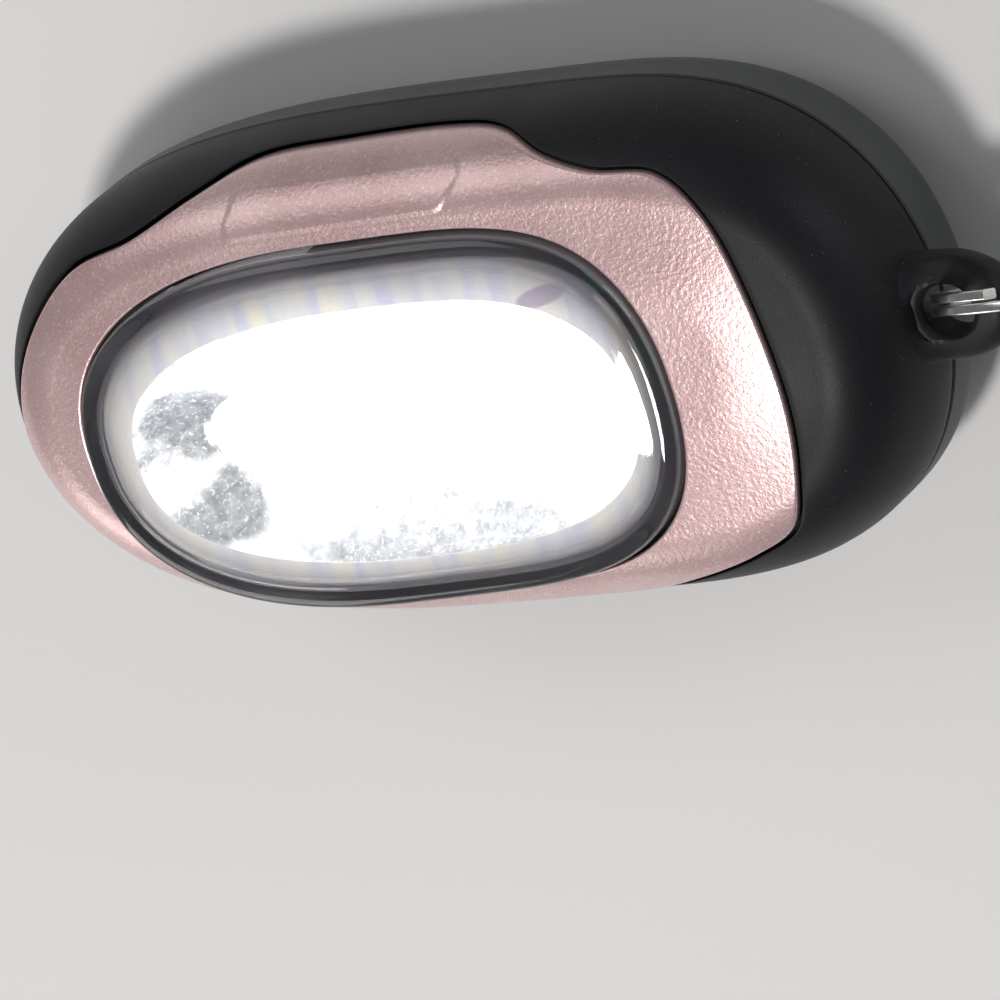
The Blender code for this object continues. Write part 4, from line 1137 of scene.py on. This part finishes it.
# ---- the key ring, button and cover -------------------------------------------------------------
@dataclass
class KeyRing:
    """The split ring of flat wire, nearly two turns."""

    radius: float = 9.2 * MM
    height: float = 1.3 * MM
    thick: float = 0.7 * MM
    corner: float = 0.16 * MM
    turns: float = 1.94
    lean: float = radians(17)
    steps: int = 300

    def section(self) -> bpy.types.Object:
        """Draws the wire's rounded section."""
        clear_selection()
        curve = bpy.data.curves.new("ring_section", "CURVE")
        curve.dimensions = "2D"
        spline = curve.splines.new("POLY")
        outline = []
        for sx, sy, start in ((1, 1, 0.0), (-1, 1, 0.5), (-1, -1, 1.0), (1, -1, 1.5)):
            for k in range(5):
                turn = pi * (start + 0.5 * k / 4)
                outline.append((sx * (self.height / 2 - self.corner) + self.corner * cos(turn),
                                sy * (self.thick / 2 - self.corner) + self.corner * sin(turn)))
        spline.points.add(len(outline) - 1)
        for knot, (x, y) in zip(spline.points, outline):
            knot.co = (x, y, 0, 1)
        spline.use_cyclic_u = True
        obj = bpy.data.objects.new("ring_section", curve)
        bpy.context.scene.collection.objects.link(obj)
        return obj

    def build(self, material: bpy.types.Material) -> bpy.types.Object:
        """Winds the ring, makes it a mesh and hangs it in the lug."""
        section = self.section()
        curve = bpy.data.curves.new("key_ring_fine", "CURVE")
        curve.dimensions = "3D"
        curve.twist_mode = "Z_UP"
        curve.bevel_mode = "OBJECT"
        curve.bevel_object = section
        curve.use_fill_caps = True
        path = curve.splines.new("POLY")
        path.points.add(self.steps)
        pitch = self.thick + 0.14 * MM
        for i in range(self.steps + 1):
            share = i / self.steps
            turn = tau * self.turns * share + radians(100)
            path.points[i].co = (self.radius * cos(turn), self.radius * sin(turn),
                                 pitch * self.turns * (share - 0.5), 1)
        ring = bpy.data.objects.new("key_ring_fine", curve)
        bpy.context.scene.collection.objects.link(ring)
        activate(ring)
        bpy.ops.object.convert(target="MESH")
        ring = bpy.context.active_object
        bpy.data.objects.remove(section, do_unlink=True)
        pivot = Vector(frame_joint("key_ring_swing")["pos_m"])
        stand = Matrix.Rotation(self.lean, 4, "X") @ Matrix.Rotation(radians(90), 4, "X")
        ring.data.transform(Matrix.Translation(pivot) @ Matrix.Translation((-self.radius, 0, 0)) @ stand)
        bpy.ops.object.mode_set(mode="EDIT")
        bpy.ops.mesh.select_all(action="SELECT")
        bpy.ops.mesh.remove_doubles(threshold=1e-6)
        bpy.ops.mesh.normals_make_consistent(inside=False)
        bpy.ops.object.mode_set(mode="OBJECT")
        shade(ring, 40)
        return finish_piece(ring, Body.RING, "ring_nickel", material, "key_ring")


@dataclass
class BackFittings:
    """The push button and the coin-slot battery cover in the back."""

    flange_reach: float = 1.2 * MM
    button_edge: float = 0.8 * MM
    button_rise: float = 0.6 * MM
    flange_low: float = 1.8 * MM
    flange_high: float = 2.6 * MM
    stem: float = 1.6 * MM
    cover_edge: float = 0.35 * MM
    cover_flange: float = 0.6 * MM
    groove_low: float = 0.75 * MM
    groove_high: float = 1.55 * MM
    groove_depth: float = 0.6 * MM
    tab_reach: float = 1.3 * MM
    tab_half_width: float = 2 * MM
    slot_half: Point = (6.5 * MM, 0.95 * MM)
    slot_depth: float = 1.0 * MM

    def build_button(self, material: bpy.types.Material) -> bpy.types.Object:
        """Models the rubber button with its dished face."""
        low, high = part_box("power_button")
        flange = (high.x - low.x) / 2
        radius = flange - self.flange_reach
        back = low.z
        edge = self.button_edge
        profile = [(0.5 * MM, back + 0.32 * MM), (radius * 0.35, back + 0.3 * MM),
                   (radius * 0.55, back + 0.24 * MM), (radius * 0.70, back + 0.1 * MM), (radius - edge, back)]
        for k in range(1, 7):
            turn = pi / 2 * k / 6
            profile.append((radius - edge + edge * sin(turn), back + self.button_rise * (1 - cos(turn))))
        profile += [(radius, self.flange_low), (flange, self.flange_low), (flange, self.flange_high),
                    (self.stem, self.flange_high), (self.stem, high.z)]
        button = turned("power_button_fine", profile, middle_of("power_button"), 96)
        shade(button, 35)
        return finish_piece(button, Body.BUTTON, "button_rubber", material, "power_button")

    def build_cover(self, material: bpy.types.Material) -> bpy.types.Object:
        """Models the battery cover with its coin slot and tabs."""
        low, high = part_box("battery_cover")
        centre = middle_of("battery_cover")
        radius = (high.y - low.y) / 2
        plug = radius - self.flange_reach
        back, top = low.z, high.z
        edge, groove = self.cover_edge, plug - self.groove_depth
        profile = [(radius - 2.2 * MM, back + 0.12 * MM), (radius - 2.0 * MM, back), (radius - edge, back)]
        for k in range(1, 6):
            turn = pi / 2 * k / 5
            profile.append((radius - edge + edge * sin(turn), back + 0.3 * MM * (1 - cos(turn))))
        profile += [(radius, back + self.cover_flange), (plug, back + self.cover_flange),
                    (plug, back + self.groove_low), (groove, back + self.groove_low),
                    (groove, back + self.groove_high), (plug, back + self.groove_high), (plug, top)]
        cover = turned("battery_cover_fine", profile, centre, 144)
        reach, half = plug + self.tab_reach, self.tab_half_width
        tabs = block("cover_tabs", (centre[0] - reach, centre[1] - half, 1.8 * MM),
                     (centre[0] + reach, centre[1] + half, top))
        long, wide = self.slot_half
        combine(cover, tabs, "UNION")
        slot = block("coin_slot", (centre[0] - long, centre[1] - wide, -1 * MM),
                     (centre[0] + long, centre[1] + wide, back + self.slot_depth))
        soften(slot, 0.5 * MM, 3)
        combine(cover, slot, "DIFFERENCE")
        shade(cover, 35)
        return finish_piece(cover, Body.COVER, "cover_black", material, "battery_cover")


# ---- the set ------------------------------------------------------------------------------------
@dataclass
class Studio:
    """The pale floor, the soft lights and the camera."""

    focal: float = 367.0
    distance: float = 0.7
    right: tuple[float, float, float] = (-0.85626, 0.27066, -0.43995)
    up: tuple[float, float, float] = (-0.08279, -0.91263, -0.40032)
    back: tuple[float, float, float] = (-0.50986, -0.30636, 0.80386)
    aim: tuple[float, float, float] = (0.00674, 0.0, 0.008)
    shift_right: float = 0.000227
    shift_down: float = 0.01098
    air_colour: Colour = (0.80, 0.82, 0.86)
    air_strength: float = 0.18

    def floor(self) -> bpy.types.Object:
        """Lays a wide flat pale floor under the light."""
        clear_selection()
        bpy.ops.mesh.primitive_plane_add(size=6.0, location=(0, 0, 0))
        floor = bpy.context.active_object
        floor.name = floor.data.name = "studio_floor"
        floor.data.materials.append(MouldedFinish(
            "floor_pale", (0.76, 0.755, 0.75), (0.80, 0.795, 0.79), grain=0.25 * MM, relief=0.004 * MM,
            cloud=400 * MM, rough_low=0.75, rough_high=0.85, specular=0.2, fleck=0.0).make())
        return floor

    def area(self, name: str, way: tuple[float, float, float], reach: float, size: float, power: float,
             colour: Colour = (1, 1, 1)) -> bpy.types.Object:
        """Hangs one square soft light that faces the object.

        Args:
            name: the light's name.
            way: direction from the object to the light.
            reach: distance in metres.
            size: side in metres.
            power: watts.
            colour: its tint.

        Returns:
            The light.
        """
        data = bpy.data.lights.new(name, "AREA")
        data.size = size
        data.energy = power
        data.color = colour
        light = bpy.data.objects.new(name, data)
        bpy.context.scene.collection.objects.link(light)
        centre = Vector(self.aim)
        direction = Vector(way).normalized()
        light.location = centre + direction * reach
        light.rotation_euler = direction.to_track_quat("Z", "Y").to_euler()
        return light

    def lights(self) -> None:
        """Sets the sky and the lamps."""
        world = bpy.data.worlds.new("studio_air")
        world.use_nodes = True
        background = world.node_tree.nodes["Background"]
        background.inputs["Color"].default_value = (*self.air_colour, 1)
        background.inputs["Strength"].default_value = self.air_strength
        bpy.context.scene.world = world
        self.area("key_softbox", (0.14, 0.32, 0.94), 0.60, 0.10, 2.0, (1.0, 0.98, 0.96))
        self.area("rim_softbox", (-0.85, -0.45, 0.30), 0.7, 0.30, 0.7, (0.96, 0.98, 1.0))
        self.area("top_softbox", (0.50, -0.58, 0.64), 0.8, 0.42, 0.9, (1.0, 0.99, 0.98))
        self.area("low_softbox", (0.72, 0.66, 0.30), 0.8, 0.40, 1.4, (1.0, 0.97, 0.94))

    def camera(self) -> bpy.types.Object:
        """Sets the camera at the viewing angle."""
        right, up, back = Vector(self.right), Vector(self.up), Vector(self.back)
        aim = Vector(self.aim) + right * self.shift_right - up * self.shift_down
        data = bpy.data.cameras.new("camera")
        data.lens = self.focal
        data.sensor_width = 36.0
        data.clip_start = 0.01
        camera = bpy.data.objects.new("camera", data)
        bpy.context.scene.collection.objects.link(camera)
        turn = Matrix((right, up, back)).transposed().to_4x4()
        camera.matrix_world = Matrix.Translation(aim + back * self.distance) @ turn
        bpy.context.scene.camera = camera
        return camera


class Finishes:
    """All the finishes of the light, made once."""

    def __init__(self, form: CaseForm) -> None:
        """Makes the finishes for the new pieces and the carried-over nodes."""
        moulded = MouldedFinish
        x, y = form.mouth.centre
        self.front = moulded("case_front_soft_black", (0.0055, 0.006, 0.0072), (0.0085, 0.0092, 0.0108),
                             rough_low=0.42, rough_high=0.56, dust=0.5, specular=0.24, sheen=0.02).make()
        self.rear = moulded("case_rear_soft_black", (0.030, 0.033, 0.0322), (0.042, 0.046, 0.0445),
                            grain=0.22 * MM, relief=0.02 * MM, rough_low=0.5, rough_high=0.64, dust=0.4,
                            sheen=0.08).make()
        self.plate = PearlFinish().make()
        # the two heights bound the lens's painted dark ring
        self.lens = ClearFinish(form.plate_z + 0.55 * MM, form.plate_z + 1.0 * MM).make()
        self.bowl = GlowingBowl("reflector_bowl_painted_glare", (x, y), form.mouth.front,
                                form.mouth.half_width).make()
        self.flange = self.lit_flange(form)
        self.strip = self.lit_strip()
        self.ring = moulded("ring_nickel_plate", (0.66, 0.645, 0.61), (0.82, 0.81, 0.78), grain=0.3 * MM,
                            relief=0.004 * MM, cloud=3 * MM, rough_low=0.12, rough_high=0.24,
                            metallic=1.0).make()
        self.button = moulded("button_rubber_grey", (0.035, 0.036, 0.038), (0.05, 0.052, 0.055),
                              rough_low=0.7, rough_high=0.85, sheen=0.2, dust=0.3).make()
        self.cover = moulded("cover_textured_black", (0.014, 0.0145, 0.015), (0.022, 0.023, 0.024),
                             relief=0.02 * MM, rough_low=0.5, rough_high=0.66).make()

    def lit_flange(self, form: CaseForm) -> bpy.types.Material:
        """Milky flange with painted glow: its emission stands in for the strip's light through it, stronger
        near the mouth, with faint streaks across its band.
        """
        paint = Paint("reflector_flange_painted_glow")
        streaks = paint.noise(1.6 * MM, 2.0, 0.5, paint.stretched(scale=(1.0, 9.0, 9.0)))
        cloud = paint.noise(7 * MM, 2.0, 0.5)
        tint = paint.ramp(streaks, [(0.32, (0.52, 0.53, 0.66)), (0.5, (0.66, 0.655, 0.65)),
                                    (0.68, (0.73, 0.71, 0.60))])
        colour = paint.blend(paint.remap(cloud, 0.35, 0.65, 0.0, 0.6), tint, (0.60, 0.57, 0.54))
        x, y = form.mouth.centre
        # painted shade: a darker purple-grey spot near the mouth's edge dims the flange's painted glow
        painted_shade_spot = paint.reach(paint.stretched((x - 15.4 * MM, y - 8.7 * MM, form.plate_z),
                                            (2.3 * MM, 0.75 * MM, 1.0), radians(14)))
        painted_shade_share = paint.remap(painted_shade_spot, 0.8, 1.05, 1.0, 0.0)
        colour = paint.blend(painted_shade_share, colour, (0.40, 0.34, 0.42))
        paint.feed("Base Color", colour)
        # painted glow: the flange is no lamp; its own colour is emitted
        paint.feed("Emission Color", colour)
        # painted light falloff: the glow is strongest at the mouth and weaker outward
        distance = paint.reach(paint.stretched(
            (x, y, form.plate_z), (0.55 * form.half_length, 0.503 * form.half_width, 1.0)))
        paint.feed("Emission Strength", paint.remap(distance, 1.0, 1.3, 0.74, 0.46))
        paint.feed("Roughness", paint.remap(cloud, 0.3, 0.7, 0.35, 0.5))
        paint.feed("Normal", paint.bump(streaks, 0.02 * MM))
        paint.set(Specular_IOR_Level=0.4)
        return paint.material

    def lit_strip(self) -> bpy.types.Material:
        """Lit phosphor with a faint grain of chips under it."""
        paint = Paint("cob_phosphor_lit")
        chips = paint.cells(1.4 * MM)
        colour = paint.ramp(chips.outputs["Distance"], [(0.0, (1.0, 0.98, 0.93)), (0.8, (1.0, 0.94, 0.80))])
        paint.feed("Base Color", colour)
        paint.feed("Emission Color", colour)
        paint.feed("Normal", paint.bump(paint.noise(0.4 * MM), 0.01 * MM))
        paint.set(Emission_Strength=7.0, Roughness=0.5)
        return paint.material

    def inner(self) -> dict[str, bpy.types.Material]:
        """The finishes of the nodes that keep their CAD meshes."""
        steel = dict(metallic=1.0, relief=0.003 * MM, cloud=4 * MM)
        make = MouldedFinish
        screw = make("screw_black_zinc", (0.09, 0.09, 0.10), (0.14, 0.14, 0.15), rough_low=0.3,
                     rough_high=0.45, **steel).make()
        cell = make("cell_steel", (0.62, 0.62, 0.60), (0.74, 0.74, 0.72), grain=0.1 * MM, rough_low=0.2,
                    rough_high=0.34, brushed=(12, 1, 1), **steel).make()
        return {
            # painted glow: the board is no lamp; glow=1.5 makes it emit its own colour as if lit by the strip
            "cob_board": make("cob_board_anodised_painted_glow", (0.66, 0.67, 0.69), (0.78, 0.79, 0.81), rough_low=0.3,
                              rough_high=0.42, glow=1.5, **steel).make(),
            "driver_board": make("driver_board_resist", (0.012, 0.11, 0.05), (0.02, 0.17, 0.075),
                                 grain=0.5 * MM, rough_low=0.35, rough_high=0.5, coat=0.3).make(),
            "driver_chip": make("driver_chip_epoxy", (0.014, 0.014, 0.016), (0.024, 0.024, 0.026),
                                rough_low=0.45, rough_high=0.6).make(),
            "series_resistor": make("series_resistor_body", (0.02, 0.02, 0.028), (0.04, 0.04, 0.05),
                                    rough_low=0.3, rough_high=0.45).make(),
            "switch_body": make("switch_body_plastic", (0.045, 0.045, 0.05), (0.07, 0.07, 0.075)).make(),
            "switch_plunger": make("switch_stem_plastic", (0.68, 0.67, 0.63), (0.82, 0.81, 0.77),
                                   rough_low=0.38, rough_high=0.5).make(),
            "button_retainer": make("retainer_nylon", (0.48, 0.48, 0.46), (0.58, 0.58, 0.56)).make(),
            "cell_holder": make("holder_nylon", (0.022, 0.022, 0.024), (0.036, 0.036, 0.038)).make(),
            "cell_lower": cell, "cell_upper": cell,
            "contact_spring": make("spring_tinned", (0.60, 0.58, 0.53), (0.74, 0.72, 0.66), rough_low=0.24,
                                   rough_high=0.36, **steel).make(),
            "positive_contact": make("contact_gilt", (0.68, 0.61, 0.45), (0.82, 0.76, 0.58), rough_low=0.24,
                                     rough_high=0.36, **steel).make(),
            "cover_seal": make("seal_silicone", (0.36, 0.075, 0.022), (0.48, 0.11, 0.035), rough_low=0.6,
                               rough_high=0.75, sheen=0.1).make(),
            "lead_positive": make("lead_red_sleeve", (0.38, 0.012, 0.012), (0.52, 0.024, 0.022)).make(),
            "lead_negative": make("lead_black_sleeve", (0.01, 0.01, 0.01), (0.02, 0.02, 0.02)).make(),
            "case_screw_1": screw, "case_screw_2": screw, "case_screw_3": screw, "case_screw_4": screw,
        }


def main() -> None:
    """Builds the light and its set in order, and reports each piece."""
    logging.basicConfig(level=logging.INFO, format="%(name)s: %(message)s")
    bpy.context.scene.view_settings.view_transform = "Standard"
    studio = Studio()
    studio.camera()
    studio.floor()
    studio.lights()
    form = CaseForm()
    finishes = Finishes(form)
    RearShell(form).build(finishes.rear)
    FrontShell(form).build(finishes.front)
    TrimPlate(form).build(finishes.plate)
    lamp = Lamp(form)
    lamp.build_lens(finishes.lens)
    lamp.build_reflector(finishes.bowl, finishes.flange)
    lamp.build_strip(finishes.strip)
    KeyRing().build(finishes.ring)
    fittings = BackFittings()
    fittings.build_button(finishes.button)
    fittings.build_cover(finishes.cover)
    for node, material in finishes.inner().items():
        frame["nodes"][node].data.materials[0] = material
        LOG.info("%s keeps its CAD mesh", node)
    clear_selection()


if __name__ == "__main__":
    main()
